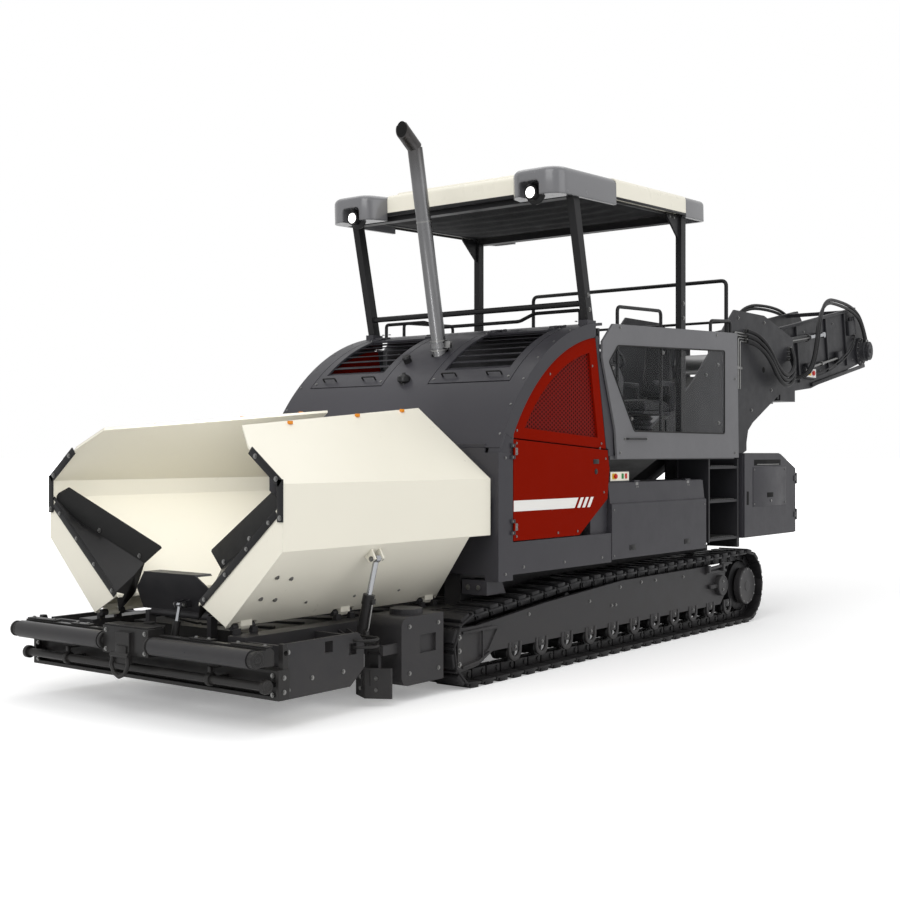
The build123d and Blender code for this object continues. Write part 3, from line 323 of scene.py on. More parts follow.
# Push rollers: steel tubes on a pivoted beam, on which the rear wheels of the truck roll.
# Pressed caps with turned rings close the beam's cheeks, and a D-shaped tow ring hangs at its jaw.
roller_paint = painted("roller_paint", (0.034, 0.034, 0.037), 0.34, dust=0.3, metal=0.3)
dress(roller_paint, "push_roller_left", "push_roller_right")
PUSH_Y, PUSH_Z = -4.585, 0.483
CHEEK_CAP = ((-0.010, 0.0), (-0.010, 0.056), (0.004, 0.056), (0.008, 0.050), (0.008, 0.040), (0.003, 0.037),
             (0.003, 0.027), (0.007, 0.024), (0.007, 0.014), (0.004, 0.011), (0.004, 0.0))
bm = bmesh.new()
for s in BOTH:
    for face, way in ((1.236, 1), (0.235, -1)):
        place_turned(bm, CHEEK_CAP, at(s * face, PUSH_Y - 0.005, PUSH_Z), flip=s * way)
    slab(bm, s * 1.07, 0.16, (-4.508, -4.446), (0.546, 0.556), 0.003)
    slab(bm, s * 0.62, 0.10, (-4.508, -4.446), (0.546, 0.556), 0.003)
slab(bm, 0.0, 0.225, (-4.60, -4.47), (0.590, 0.602), 0.005)
place_turned(bm, ((-0.090, 0.0), (-0.090, 0.019), (0.090, 0.019), (0.090, 0.0)), at(-0.01, -4.637, 0.405))
slab(bm, -0.005, 0.055, (-4.642, -4.630), (0.41, 0.47))
settle("push_caps", bm, black_paint, "push_beam")


def route(points, s=1):
    return [at(s * x, y, z) for x, y, z in points]


def pipe(name, points, radius, material, body, bend=0.05, closed=False, straight=True):
    points = [Vector(point) for point in points]
    held = list(points)
    if straight:
        ring = [points[-1]] + points + [points[0]] if closed else points
        held = [] if closed else [points[0]]
        for before, here, after in zip(ring, ring[1:], ring[2:]):
            held += [here + (before - here).normalized() * bend, here,
                     here + (after - here).normalized() * bend]
        held += [] if closed else [points[-1]]
    curve = bpy.data.curves.new(name, "CURVE")
    curve.dimensions = "3D"
    curve.bevel_depth = radius
    curve.bevel_resolution = 5
    curve.resolution_u = 8
    curve.use_fill_caps = True
    line = curve.splines.new("NURBS")
    line.points.add(len(held) - 1)
    for spot, point in zip(line.points, held):
        spot.co = (*point, 1.0)
    line.order_u = 3
    line.use_cyclic_u = closed
    line.use_endpoint_u = not closed
    curve.materials.append(material)
    piece = show(name, curve)
    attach(piece, body)
    return piece


TOW_RING = ((-0.085, -4.637, 0.405), (-0.096, -4.643, 0.340), (-0.065, -4.646, 0.285), (-0.01, -4.648, 0.262),
            (0.045, -4.646, 0.285), (0.076, -4.643, 0.340), (0.065, -4.637, 0.405))
pipe("tow_ring", route(TOW_RING), 0.014, black_paint, "push_beam", 0.012)
bm = bmesh.new()
place_bolts(bm, [at(s * x, -4.477, 0.556) for s, x in product(BOTH, (0.56, 0.68, 0.95, 1.19))], (0, 0, 1))
place_bolts(bm, [at(x, -4.6055, z) for x, z in product((-0.20, 0.20), (0.43, 0.56))], (0, -1, 0))
settle("push_bolts", bm, zinc, "push_beam")

# Hydraulic rods: ground and hard chromed steel, wiped bright by their seals.
# They slide in glands screwed into the barrels and are pinned to the wings, the gate and the conveyor.
chrome = painted("chrome", (0.46, 0.47, 0.49), 0.14, dust=0.1, metal=1.0, bump=0.004, edge=0.0)
dress(chrome, "wing_rod_left", "wing_rod_right", "gate_rod", "lift_rod_left", "lift_rod_right")


def place_pin(bm, start, end, radius):
    way = (end - start).normalized()
    place_rod(bm, start, end, radius)
    place_bolts(bm, [start], -way, 0.013)
    place_bolts(bm, [end], way, 0.013)


for side, s in SIDES:
    foot, eye = at(s * 1.010, -3.39, 0.42), at(s * 1.172, -3.39, 1.03)
    way = (eye - foot).normalized()
    bm = bmesh.new()
    for near, far, radius in ((0.300, 0.368, 0.042), (0.060, 0.085, 0.041)):
        place_rod(bm, foot + way * near, foot + way * far, radius)
    for near in (0.32, 0.09):
        port = foot + way * near
        place_box(bm, port + Vector((0.03, -0.02, -0.02)), port + Vector((0.06, 0.02, 0.02)))
    settle("wing_gland_" + side, bm, black_paint, "wing_barrel_" + side)
    spots = ((0.09, 0.045), (0.13, 0.055), (0.32, 0.045))
    line = [foot + way * near + Vector((out, 0, 0)) for near, out in spots]
    pipe("wing_pipe_" + side, line, 0.007, zinc, "wing_barrel_" + side, 0.01)
    bm = bmesh.new()
    place_pin(bm, eye - Vector((0, 0.056, 0)), eye + Vector((0, 0.056, 0)), 0.016)
    settle("wing_pin_" + side, bm, zinc, "wing_rod_" + side)
hose_rubber = painted("hose_rubber", (0.014, 0.014, 0.015), 0.42, dust=0.15, bump=0.06, edge=0.0)


def evaluated_mesh(piece):
    return bpy.data.meshes.new_from_object(piece.evaluated_get(bpy.context.evaluated_depsgraph_get()))


def hose(name, points, diameter, body):
    piece = pipe(name, points, diameter / 2, hose_rubber, body, straight=False)
    bare = show("bare_line", piece.data.copy())
    bare.data.bevel_depth = 0.0
    line = evaluated_mesh(bare)
    bpy.data.objects.remove(bare)
    bpy.data.meshes.remove(line)


WING_LOOP = ((1.188, -3.645), (1.229, -3.645), (1.288, -3.586), (1.288, -3.504), (1.229, -3.445),
             (1.147, -3.445))
for side, s in SIDES:
    bm = bmesh.new()
    for i in range(2):
        port, z = 1.030 + 0.02 * i, 0.450 + 0.045 * i
        loop = WING_LOOP + ((port + 0.005, -3.445),)
        hose("wing_hose_%s_%d" % (side, i), [at(s * x, y, z) for x, y in loop], 0.019, "chassis")
        place_rod(bm, at(s * port, -3.444, z), at(s * port, -3.421, z), 0.013, 6)
    settle("wing_ports_" + side, bm, zinc, "wing_barrel_" + side)
bm = bmesh.new()
place_pin(bm, at(0.055, -4.216, 0.712), at(0.145, -4.216, 0.712), 0.010)
settle("gate_pin", bm, zinc, "gate_rod")

# Hopper wings: folded steel plate in cream satin paint, hung on barrel hinges over the rails.
# Black bolted bars stiffen the front edges; a corner sheet and a rubber apron close the gap to the gate.
cream = painted("cream_paint", (0.80, 0.770, 0.665), 0.34, dust=0.05, spread=0.05, bump=0.010)
dress(cream, "wing_left", "wing_right")
rubber = painted("rubber", (0.013, 0.013, 0.013), 0.58, dust=0.2, bump=0.10, edge=0.0)
dress(rubber, "main_belt", "swivel_belt")
amber = painted("amber", (0.75, 0.26, 0.02), 0.25, dust=0.05, bump=0.02, edge=0.0)
WING_FRONT = -4.333
LINING_SLOPE = 0.8808
SHEET_STEPS = 12
# Each bar: start (x, z), end (x, z), width, thickness.
EDGE_BARS = (((0.915, 1.775), (1.188, 1.562), 0.058, 0.008), ((1.184, 1.590), (1.184, 1.318), 0.052, 0.008),
             ((1.150, 1.374), (0.445, 0.754), 0.050, 0.006))
APRON = ((1.050, 1.505), (1.138, 1.463), (1.158, 1.440), (1.168, 1.362), (0.402, 0.966), (0.392, 0.972),
         (0.261, 1.078), (0.270, 1.094))


def along_strip(start, end, width):
    across = Vector((-(end - start).z, 0, (end - start).x)).normalized() * (width / 2)
    return [start + across, end + across, end - across, start - across]


def apron_y(x):
    return -4.318 + (1.184 - x) * 0.26


for side, s in SIDES:
    wing = "wing_" + side
    bm = bmesh.new()
    for start, end, width, thick in EDGE_BARS:
        ends = [at(s * x, WING_FRONT, z) for x, z in (start, end)]
        place_plate(bm, along_strip(*ends, width), (0, -thick, 0))
    settle("edge_bars_" + side, bm, black_paint, wing)
    # The black corner sheet stands for a black plate and, in part, for painted shade in that corner.
    bm = bmesh.new()
    rows = []
    for i in range(SHEET_STEPS + 1):
        share = i / SHEET_STEPS
        wide, low = 1.166 - 0.764 * share, 1.172 - 0.732 * share
        top = max(1.362 - 0.394 * share, 0.395 + LINING_SLOPE * wide)
        upper = at(s * wide, -4.311 + 0.199 * share, top)
        lower = at(s * low, -4.331, 0.390 + LINING_SLOPE * low)
        fold = upper.lerp(lower, 0.5) + Vector((0, 0.035 * share, 0.012))
        rows.append((upper, fold, lower))
    rows.append([at(s * 0.411, y, z) for y, z in ((-4.112, 0.955), (-4.190, 0.760), (-4.331, 0.640))])
    rows = [[bm.verts.new(point) for point in row] for row in rows]
    sheet = [bm.faces.new((a[i], b[i], b[i + 1], a[i + 1])) for a, b in zip(rows, rows[1:]) for i in (0, 1)]
    pushed(bm, sheet, (0, 0.006, 0))
    settle("corner_sheet_" + side, bm, black_paint, wing)
    bm = bmesh.new()
    place_plate(bm, [at(s * x, apron_y(x), z) for x, z in APRON], (0, 0.012, 0), 0.004)
    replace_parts(settle("apron_" + side, bm, rubber, wing), "flap_" + side)
    bm = bmesh.new()
    spots = ((0.965, 1.736), (1.15, 1.592), (1.184, 1.345))
    place_bolts(bm, [at(s * x, WING_FRONT - 0.008, z) for x, z in spots], (0, -1, 0), 0.012)
    spots = [(1.08 - 0.2 * i, 1.312 - 0.176 * i) for i in range(4)]
    place_bolts(bm, [at(s * x, WING_FRONT - 0.006, z) for x, z in spots], (0, -1, 0), 0.010)
    spots = [(x, 1.362 - (1.166 - x) * 0.516 + 0.030) for x in (1.13, 0.78, 0.44)]
    place_bolts(bm, [at(s * x, apron_y(x), z) for x, z in spots], (0, -1, 0), 0.012)
    under = Vector((s * 0.704, 0, -0.710))
    for spots, radius in ((((1.02, -4.20), (1.0, -4.05), (0.87, -4.20), (0.85, -4.05)), 0.012),
                          (((0.80, -3.7), (0.80, -3.2), (0.80, -2.7)), 0.008)):
        place_bolts(bm, [at(s * x, y, 0.608 + (x - 0.674) * 0.9924) + under * 0.001 for x, y in spots],
                    under, radius)
    settle("wing_bolts_" + side, bm, zinc, wing)
    bm = bmesh.new()
    for y, x in ((-3.75, 0.683), (-2.95, 0.594), (-2.35, 0.528)):
        z = 1.56 + (1.2 - x) * 0.787
        slab(bm, s * (x + 0.016), 0.012, (y - 0.018, y + 0.018), (z - 0.012, z + 0.012))
    settle("wing_markers_" + side, bm, amber, wing)

# Crawler tracks: forged grouser shoes bolted to a link chain, one closed loop on each side.
# The shoes follow the loop round idler, carrier roller and sprocket.
track_steel = painted("track_steel", (0.015, 0.015, 0.017), 0.42, dust=0.14, spread=0.4, metal=0.4, edge=0.0)
DRIVE_Y, DRIVE_Z = 2.44, 0.380
# Each wheel of the loop: y, z, radius of the loop there.
WHEELS = ((-2.344, 0.290, 0.290), (-0.9, 0.542, 0.170), (DRIVE_Y, DRIVE_Z, 0.380))
SHOE_X = 1.087
SHOE_PITCH = 0.190


def loop_runs():
    leave = []
    for (y0, z0, r0), (y1, z1, r1) in zip(WHEELS, WHEELS[1:] + WHEELS[:1]):
        leave.append(math.atan2(z1 - z0, y1 - y0) + math.acos((r0 - r1) / math.hypot(y1 - y0, z1 - z0)))
    runs = []
    for i, (y0, z0, r0) in enumerate(WHEELS):
        y1, z1, r1 = WHEELS[(i + 1) % 3]
        a = leave[i]
        straight = math.hypot(y1 - y0 + (r1 - r0) * math.cos(a), z1 - z0 + (r1 - r0) * math.sin(a))
        turn = (a - leave[(i + 1) % 3]) % (2 * math.pi)
        runs += [(straight, y0, z0, r0, a, 0.0), (turn * r1, y1, z1, r1, a, turn)]
    return runs


def loop_place(runs, s):
    for length, y, z, r, a, turn in runs:
        if s <= length:
            b = a - turn * s / length
            ahead = 0.0 if turn else s
            spot = at(0, y + r * math.cos(b) + ahead * math.sin(b), z + r * math.sin(b) - ahead * math.cos(b))
            return Matrix.Translation(spot) @ Matrix.Rotation(b - math.pi / 2, 4, "X")
        s -= length
    return loop_place(runs, 0.0)


bm = bmesh.new()
place_box(bm, (-0.170, -0.090, -0.048), (0.170, 0.086, -0.030), 0.004)
place_box(bm, (-0.164, -0.068, -0.036), (0.164, 0.040, 0.0), 0.008)
place_box(bm, (-0.167, 0.066, -0.036), (0.167, 0.086, -0.016), 0.004)
for x in (0.034, -0.056):
    place_box(bm, (x, -0.112, -0.120), (x + 0.022, 0.062, -0.047), 0.008)
place_rod(bm, (-0.064, -0.075, -0.086), (0.064, -0.075, -0.086), 0.022, 16)
place_bolts(bm, [(x, 0.053, -0.030) for x in (-0.10, -0.045, 0.045, 0.10)], (0, 0, 1), 0.010)
shoe = bpy.data.meshes.new("shoe")
bm.to_mesh(shoe)
bm.free()
runs = loop_runs()
total = sum(run[0] for run in runs)
count = round(total / SHOE_PITCH)
for side, s in SIDES:
    bm = bmesh.new()
    for i in range(count):
        done = len(bm.verts)
        bm.from_mesh(shoe)
        bm.verts.ensure_lookup_table()
        spot = Matrix.Translation((s * SHOE_X, 0, 0)) @ loop_place(runs, (i + 0.5) * total / count)
        bmesh.ops.transform(bm, matrix=spot, verts=bm.verts[done:])
    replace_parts(settle("track_shoes_" + side, bm, track_steel, "chassis"), "track_" + side)

# Track frames: welded boxes inside the loops with flanged rollers below in fork brackets.
# Bolts, a round cover and the drive's own cover sit on the outer plate.
ROLLER_YS = [-1.75 + 0.381 * i for i in range(11)]
ROLLER = ((0.985, 0.0), (0.985, 0.040), (1.010, 0.0625), (1.040, 0.0625), (1.045, 0.054), (1.128, 0.054),
          (1.133, 0.0625), (1.158, 0.0625), (1.159, 0.040), (1.159, 0.0))
DRIVE_COVER = ((1.160, 0.0), (1.160, 0.150), (1.185, 0.150), (1.185, 0.189), (1.240, 0.189), (1.247, 0.183),
               (1.247, 0.165), (1.244, 0.160), (1.244, 0.055), (1.248, 0.050), (1.248, 0.0))
SMALL_COVER = ((1.200, 0.0), (1.200, 0.104), (1.246, 0.104), (1.252, 0.098), (1.252, 0.086), (1.249, 0.083),
               (1.249, 0.0))
TEETH = 22


def arc(centre, across, up, degrees):
    turns = [math.radians(a) for a in degrees]
    return [(centre[0] + across * math.cos(a), centre[1] + up * math.sin(a)) for a in turns]


def full_turn(count):
    return [360 * i / count for i in range(count)]


bm = bmesh.new()
for s in BOTH:
    for y in ROLLER_YS:
        place_turned(bm, ROLLER, at(0, y, 0.1845), 24, flip=s)
    for y, z, r in WHEELS:
        rim = r - 0.127
        disc = ((1.018, 0.0), (1.018, rim - 0.03), (1.028, rim), (1.146, rim), (1.157, rim - 0.03),
                (1.157, rim * 0.62), (1.148, rim * 0.58), (1.148, rim * 0.35), (1.157, rim * 0.3),
                (1.157, 0.0))
        place_turned(bm, disc, at(0, y, z), 48, flip=s)
    for y, z in arc((DRIVE_Y, DRIVE_Z), 0.262, 0.262, full_turn(TEETH)):
        slab(bm, s * SHOE_X, 0.022, (y - 0.016, y + 0.016), (z - 0.016, z + 0.016), 0.006)
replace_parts(settle("track_rollers", bm, track_steel, "chassis"), "track_wheels")
bm = bmesh.new()
for s in BOTH:
    for y in ROLLER_YS:
        fork = [(y - 0.088, 0.272)] + arc((y, 0.205), 0.088, 0.084, range(180, 361, 15))
        fork += [(y + 0.088, 0.272), (y + 0.056, 0.272)]
        fork += arc((y, 0.207), 0.056, 0.048, range(360, 179, -15)) + [(y - 0.056, 0.272)]
        side_plate(bm, s, 1.185, fork, 0.022, 0.004)
        slab(bm, s * 1.196, 0.008, (y - 0.044, y + 0.044), (0.200, 0.272), 0.006)
    side_plate(bm, s, 1.200, ((-2.45, 0.405), (-1.98, 0.412), (-2.07, 0.432), (-2.45, 0.425)), 0.016, 0.003)
    side_plate(bm, s, 1.200, ((-2.45, 0.150), (-2.24, 0.170), (-2.10, 0.225), (-2.10, 0.242), (-2.25, 0.188),
                              (-2.45, 0.166)), 0.016, 0.003)
    slab(bm, s * 1.208, 0.008, (-2.20, -2.185), (0.18, 0.42), 0.003)
    place_rod(bm, at(s * 1.222, 1.58, 0.610), at(s * 1.222, 2.02, 0.632), 0.016)
    place_rod(bm, at(s * 1.224, 1.86, 0.655), at(s * 1.224, 2.10, 0.640), 0.012)
    for y in (1.58, 1.90):
        slab(bm, s * 1.222, 0.025, (y - 0.022, y + 0.022), (0.575, 0.645))
settle("roller_forks", bm, frame_paint, "chassis")
bm = bmesh.new()
for s in BOTH:
    place_turned(bm, DRIVE_COVER, at(0, DRIVE_Y, DRIVE_Z), 48, flip=s)
    place_turned(bm, SMALL_COVER, at(0, 1.87, 0.43), 40, flip=s)
    slab(bm, s * 1.225 - 0.007, 0.017, (1.62, 1.80), (0.41, 0.45), 0.006)
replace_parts(settle("drive_covers", bm, frame_paint, "chassis"), "final_drives")
bm = bmesh.new()
for s in BOTH:
    side_bolts(bm, s, 1.246, arc((DRIVE_Y, DRIVE_Z), 0.174, 0.174, full_turn(12)), 0.007)
    side_bolts(bm, s, 1.249, ((1.87, 0.39), (1.87, 0.47)), 0.009)
    side_bolts(bm, s, 1.225, ((-2.51, 0.19), (-2.51, 0.29), (-2.51, 0.39)), 0.014)
    side_bolts(bm, s, 1.200, ((-1.55, 0.47), (-0.62, 0.49), (-0.1, 0.57), (0.28, 0.585), (0.55, 0.58),
                              (1.10, 0.57), (-0.25, 0.42), (-0.18, 0.42)), 0.010)
    side_bolts(bm, s, 1.206, [(y, 0.235) for y in ROLLER_YS], 0.009)
settle("track_bolts", bm, zinc, "chassis")

# Scrapers: plough blades ahead of the tracks, worn by the ground.
# Worn steel plate on a hinged arm that is pinned to the hopper frame.
blade_steel = painted("blade_steel", (0.026, 0.026, 0.028), 0.40, dust=0.25, spread=0.5, metal=0.3)
dress(blade_steel, "scraper_left", "scraper_right")
for side, s in SIDES:
    bm = bmesh.new()
    side_bolts(bm, s, 1.144, ((-3.30, 0.38),), 0.018)
    blade = [at(s * x, -3.4215 + abs(x - 1.09) * 0.5625, z) for x, z in product((1.16, 1.02), (0.12, 0.20))]
    place_bolts(bm, blade, (0, -1, 0), 0.010)
    settle("scraper_bolts_" + side, bm, zinc, "scraper_" + side)

# Belts: rubber carcass belts with raised cross bars, running over steel drums.
# The bars are vulcanised on, so they move with the belt that carries them.
drum_steel = painted("drum_steel", (0.22, 0.22, 0.22), 0.38, dust=0.4, metal=0.9, edge=0.0)
dress(drum_steel, "main_drum", "swivel_drum")
FEEDER_BAR = ((0.02, 0.0), (0.56, 0.16), (0.56, 0.20), (0.02, 0.04))
SWIVEL_BAR = ((0.02, 0.0), (0.35, 0.12), (0.35, 0.15), (0.02, 0.03))
swivel_turn = Matrix.Translation(at(0, 5.15, 2.75)) @ Matrix.Rotation(math.radians(10.5), 4, "X")


def local(x, y, z):
    return Vector((x, y, z))


def cross_bars(ys, outline, z, thick, spot):
    bm = bmesh.new()
    for y, s in product(ys, BOTH):
        place_plate(bm, [spot(s * x, y + d, z) for x, d in outline], (0, 0, thick), 0.003)
    return bm


bars = cross_bars([-3.95 + i * 0.29 for i in range(9)], FEEDER_BAR, 0.539, 0.016, at)
settle("feeder_bars", bars, rubber, "chassis")
bars = cross_bars([0.15 + i * 0.27 for i in range(10)], SWIVEL_BAR, 0.034, 0.014, local)
settle("swivel_bars", bars, rubber, "swivel", swivel_turn)

# Body sides: steel columns and skirts in anthracite with red doors between them.
# The doors hang on bolted leaf hinges; the upper panel holds a punched sheet behind its frame.
body_paint = painted("body_paint", (0.040, 0.039, 0.045), 0.36, dust=0.10)
dress(body_paint, "body_sides", "hood", "hatch_left", "hatch_right", "lockers", "locker_door_left",
      "locker_door_right", "tool_boxes", "tool_lid_left", "tool_lid_right")
red_paint = painted("red_paint", (0.205, 0.0055, 0.0003), 0.45, dust=0.0, spread=0.10, gloss=0.01)
dress(red_paint, "mesh_panels", "side_door_left", "side_door_right")
white_band = painted("white_band", (0.78, 0.77, 0.74), 0.35, dust=0.05, edge=0.0)
HOLE_WAVE = 210


def punched_sheet():
    material, tree, shader = new_material("punched_sheet")
    place = axes(tree)
    wave = 0.0
    for angle in (0, 60, 120):
        across = math_node(tree, "MULTIPLY", place["Y"], HOLE_WAVE * math.cos(math.radians(angle)))
        upward = math_node(tree, "MULTIPLY", place["Z"], HOLE_WAVE * math.sin(math.radians(angle)))
        wave = math_node(tree, "ADD", math_node(tree, "COSINE", math_node(tree, "ADD", across, upward)), wave)
    # The holes are mixed to near-black below: painted shade seen through them.
    hole = ramp(tree, wave, 0.55, 2.2)
    aged = add_node(tree, "ShaderNodeGroup", node_tree=weather)
    aged.inputs["Spread"].default_value = 0.3
    sheet = mix_node(tree, 1.0, (0.15, 0.003, 0.001, 1.0), aged.outputs["Tone"], "MULTIPLY")
    rough = math_node(tree, "ADD", math_node(tree, "MULTIPLY", hole, 0.3), 0.45)
    for label, value in (("Base Color", mix_node(tree, hole, sheet, (0.010, 0.003, 0.002, 1.0))),
                         ("Roughness", rough), ("Specular IOR Level", 0.05),
                         ("Normal", bump_node(tree, hole, 0.6, 0.004, invert=True))):
        plug(tree, value, shader.inputs[label])
    return material


def evenly(start, stop, count):
    return [start + (stop - start) * i / count for i in range(count + 1)]


mesh_red = punched_sheet()
ARCH_Y, ARCH_Z, ARCH_R = -0.35067, 1.05246, 1.83363
HINGE_ZS = (1.18, 1.77)
BAND_LOW, BAND_HIGH = 1.300, 1.385
SHEET_R = 1.5935
SHEET_RIM = [(-1.662, 1.9565), (-0.545, 1.890)]
SHEET_RIM += arc((ARCH_Y, ARCH_Z), SHEET_R, SHEET_R, evenly(102.1, 145.4, 14))
# Each stripe of the band: the two ends of its lower edge, then of its upper edge.
STRIPES = [((-1.838, -0.945), (-1.838, -0.885))]
STRIPES += [((y, y + 0.045), (y + 0.060, y + 0.105)) for y in (-0.905, -0.825, -0.745)]
LOCK = ((1.249, 0.0), (1.249, 0.024), (1.253, 0.024), (1.255, 0.021), (1.255, 0.012), (1.258, 0.010),
        (1.258, 0.0))
COLUMN_CAP = ((-2.040, 1.752), (-1.836, 1.752), (-1.836, 2.085), (-1.860, 2.060), (-1.950, 1.922),
              (-2.020, 1.798))
for side, s in SIDES:
    door = "side_door_" + side
    bm = bmesh.new()
    side_plate(bm, s, 1.218, SHEET_RIM, 0.001, 0.0)
    settle("punched_sheet_" + side, bm, mesh_red, "chassis")
    bm = bmesh.new()
    for low, high in STRIPES:
        ring = ((low[0], BAND_LOW), (low[1], BAND_LOW), (high[1], BAND_HIGH), (high[0], BAND_HIGH))
        side_plate(bm, s, 1.2495, ring, 0.0015, 0.0)
    settle("door_band_" + side, bm, white_band, door)
    bm = bmesh.new()
    for z in HINGE_ZS:
        slab(bm, s * 1.2625, 0.002, (-1.838, -1.803), (z - 0.028, z + 0.028), 0.001)
        side_bolts(bm, s, 1.264, ((-1.812, z - 0.016), (-1.812, z + 0.016)), 0.006)
    side_bolts(bm, s, 1.250, ((-0.442, 1.709), (-0.538, 1.800), (-0.47, 1.42), (-0.90, 1.105), (-1.80, 1.105),
                              (-1.80, 1.835), (-1.2, 1.105)), 0.007)
    settle("door_fittings_" + side, bm, zinc, door)
    bm = bmesh.new()
    place_turned(bm, LOCK, at(0, -0.60, 1.60), 24, flip=s)
    slab(bm, s * 1.2515, 0.0025, (-0.645, -0.555), (1.665, 1.705), 0.002)
    settle("door_lock_" + side, bm, black_paint, door)
    bm = bmesh.new()
    for z in HINGE_ZS:
        side_bolts(bm, s, 1.262, ((-1.865, z - 0.045), (-1.865, z + 0.045)), 0.006)
    side_bolts(bm, s, 1.250, ((-1.95, 0.82), (-1.95, 1.72), (-1.70, 0.86), (-1.10, 0.86), (-0.50, 0.86)),
               0.008)
    place_bolts(bm, [at(s * x, -2.045, 0.712) for x in (0.96, 1.06)], (0, -1, 0), 0.014)
    side_bolts(bm, s, 1.236, ((-1.775, 1.935), (-0.49, 1.84), (-0.64, 2.50), (-1.30, 2.40)), 0.007)
    settle("body_screws_" + side, bm, zinc, "chassis")
    bm = bmesh.new()
    side_plate(bm, s, 1.140, COLUMN_CAP, 0.109, 0.003)
    settle("column_cap_" + side, bm, body_paint, "chassis")

# Engine hood: one arched sheet with two louvred hatches; each hatch has bent pull handles.
# A horn cap and a filler stand between them beside the stack.
ARCH_LOW, ARCH_HIGH = 155.9, 94.67
HANDLE_SHARE = 0.375
# Each ring of the horn cap: its foot, its top, the radius below and the radius above.
HORN_CAP = ((-0.05, 0.02, 0.026, 0.026), (0.02, 0.035, 0.032, 0.056), (0.035, 0.075, 0.056, 0.056),
            (0.075, 0.095, 0.056, 0.030), (0.095, 0.112, 0.018, 0.012))


def arch_normal(share):
    b = math.radians(ARCH_LOW + (ARCH_HIGH - ARCH_LOW) * share)
    return Vector((0, math.cos(b), math.sin(b)))


def arch_spot(x, share, proud):
    return at(x, ARCH_Y, ARCH_Z) + arch_normal(share) * (ARCH_R + proud)


for side, s in SIDES:
    for i, x in enumerate((0.44, 0.90)):
        grip = [arch_spot(s * x + d, HANDLE_SHARE, proud)
                for d, proud in ((-0.07, -0.004), (-0.07, 0.036), (0.07, 0.036), (0.07, -0.004))]
        pipe("hatch_handle_%s_%d" % (side, i), grip, 0.007, black_paint, "hatch_" + side, 0.018)
    bm = bmesh.new()
    for x, share in product((0.29, 1.05), (0.36, 0.81)):
        place_bolts(bm, [arch_spot(s * x, share, 0.0)], arch_normal(share), 0.008)
    settle("hatch_screws_" + side, bm, zinc, "hatch_" + side)
bm = bmesh.new()
for s, share in product(BOTH, (0.06, 0.20, 0.34, 0.48, 0.62, 0.76, 0.90)):
    place_bolts(bm, [arch_spot(s * 1.215, share, 0.0)], arch_normal(share), 0.007)
front = [at(s * x, -2.045, z) for s, x, z in product(BOTH, (0.35, 0.90), (1.10, 1.70))]
place_bolts(bm, front, (0, -1, 0), 0.008)
settle("hood_screws", bm, zinc, "chassis")
bm = bmesh.new()
for low, high, radius, tip in HORN_CAP:
    place_rod(bm, at(-0.02, -1.640, 2.330 + low), at(-0.02, -1.640, 2.330 + high), radius, 28, tip)
for low, high, radius, tip in ((-0.004, 0.045, 0.036, 0.036), (0.045, 0.060, 0.042, 0.034)):
    place_rod(bm, arch_spot(-0.16, 0.50, low), arch_spot(-0.16, 0.50, high), radius, 28, tip)
settle("hood_caps", bm, black_paint, "chassis")

# Exhaust stack: stainless heat shield tube, slash cut at the top and held by clamps at its foot.
# Heat has darkened the tip; a near-black disc in its mouth is painted shade of the sooty inside.
STACK_X = 0.1
STAIN_Z = 4.02


def feeding(shader, label):
    return shader.inputs[label].links[0].from_socket


def heat_stained():
    material = painted("stainless", (0.21, 0.21, 0.215), 0.30, dust=0.10, metal=1.0, bump=0.015, edge=0.0)
    tree, shader = shader_of(material)
    patchy = math_node(tree, "MULTIPLY", noise_node(tree, 9.0, 4.0), 0.5)
    high = ramp(tree, axes(tree)["Z"], STAIN_Z, 2.6)
    stained = math_node(tree, "MULTIPLY", high, math_node(tree, "ADD", patchy, 0.6), True)
    colour = mix_node(tree, stained, feeding(shader, "Base Color"), (0.055, 0.050, 0.048, 1.0))
    tree.links.new(colour, shader.inputs["Base Color"])
    return material


dress(heat_stained(), "exhaust")
# Near-black matte: real soot in the stack, and painted shade in its mouth, in the tool lids' slots and in the
# plate holes.
soot_and_painted_shade = painted("soot_and_painted_shade", (0.006, 0.006, 0.006), 0.8, dust=0.1, edge=0.0)
foot, bend_at = at(STACK_X, -1.209, 2.2), at(STACK_X, -1.640, 4.336)
way = (bend_at - foot).normalized()
# The disc in the mouth is painted shade of the tube's sooty inside.
bm = bmesh.new()
mouth = arc((STACK_X, 4.459), 0.055, 0.068, full_turn(32))
place_plate(bm, [at(x, -1.8152, z) for x, z in mouth], (0, -0.0008, 0), 0.0)
settle("stack_mouth", bm, soot_and_painted_shade, "chassis")
bm = bmesh.new()
for near, far, radius in ((0.36, 0.385, 0.069), (0.535, 0.545, 0.074), (0.455, 0.465, 0.083),
                          (1.55, 1.565, 0.0655)):
    place_rod(bm, foot + way * near, foot + way * far, radius, 40)
place_box(bm, foot + way * 0.50 + Vector((0.070, -0.02, -0.03)),
          foot + way * 0.50 + Vector((0.130, 0.02, 0.03)))
settle("stack_clamps", bm, zinc, "chassis")

# Lockers and tool boxes: folded sheet boxes along the frame under the platform.
# Their doors carry zinc hinges and flush latches; a small switch panel sits above the front one.
yellow = painted("signal_yellow", (0.70, 0.42, 0.02), 0.35, dust=0.05, edge=0.0)
button_red = painted("button_red", (0.50, 0.012, 0.008), 0.3, dust=0.05, edge=0.0)
button_green = painted("button_green", (0.02, 0.20, 0.04), 0.3, dust=0.05, edge=0.0)
STOP_BUTTON = ((1.200, 0.0), (1.200, 0.014), (1.216, 0.014), (1.216, 0.021), (1.224, 0.021), (1.228, 0.016),
               (1.228, 0.0))
BOX_LOCK = ((1.257, 0.0), (1.257, 0.014), (1.262, 0.013), (1.262, 0.0))


def plaque(name, material, body, slot, *slab_values):
    bm = bmesh.new()
    slab(bm, *slab_values)
    settle(name, bm, material, body)


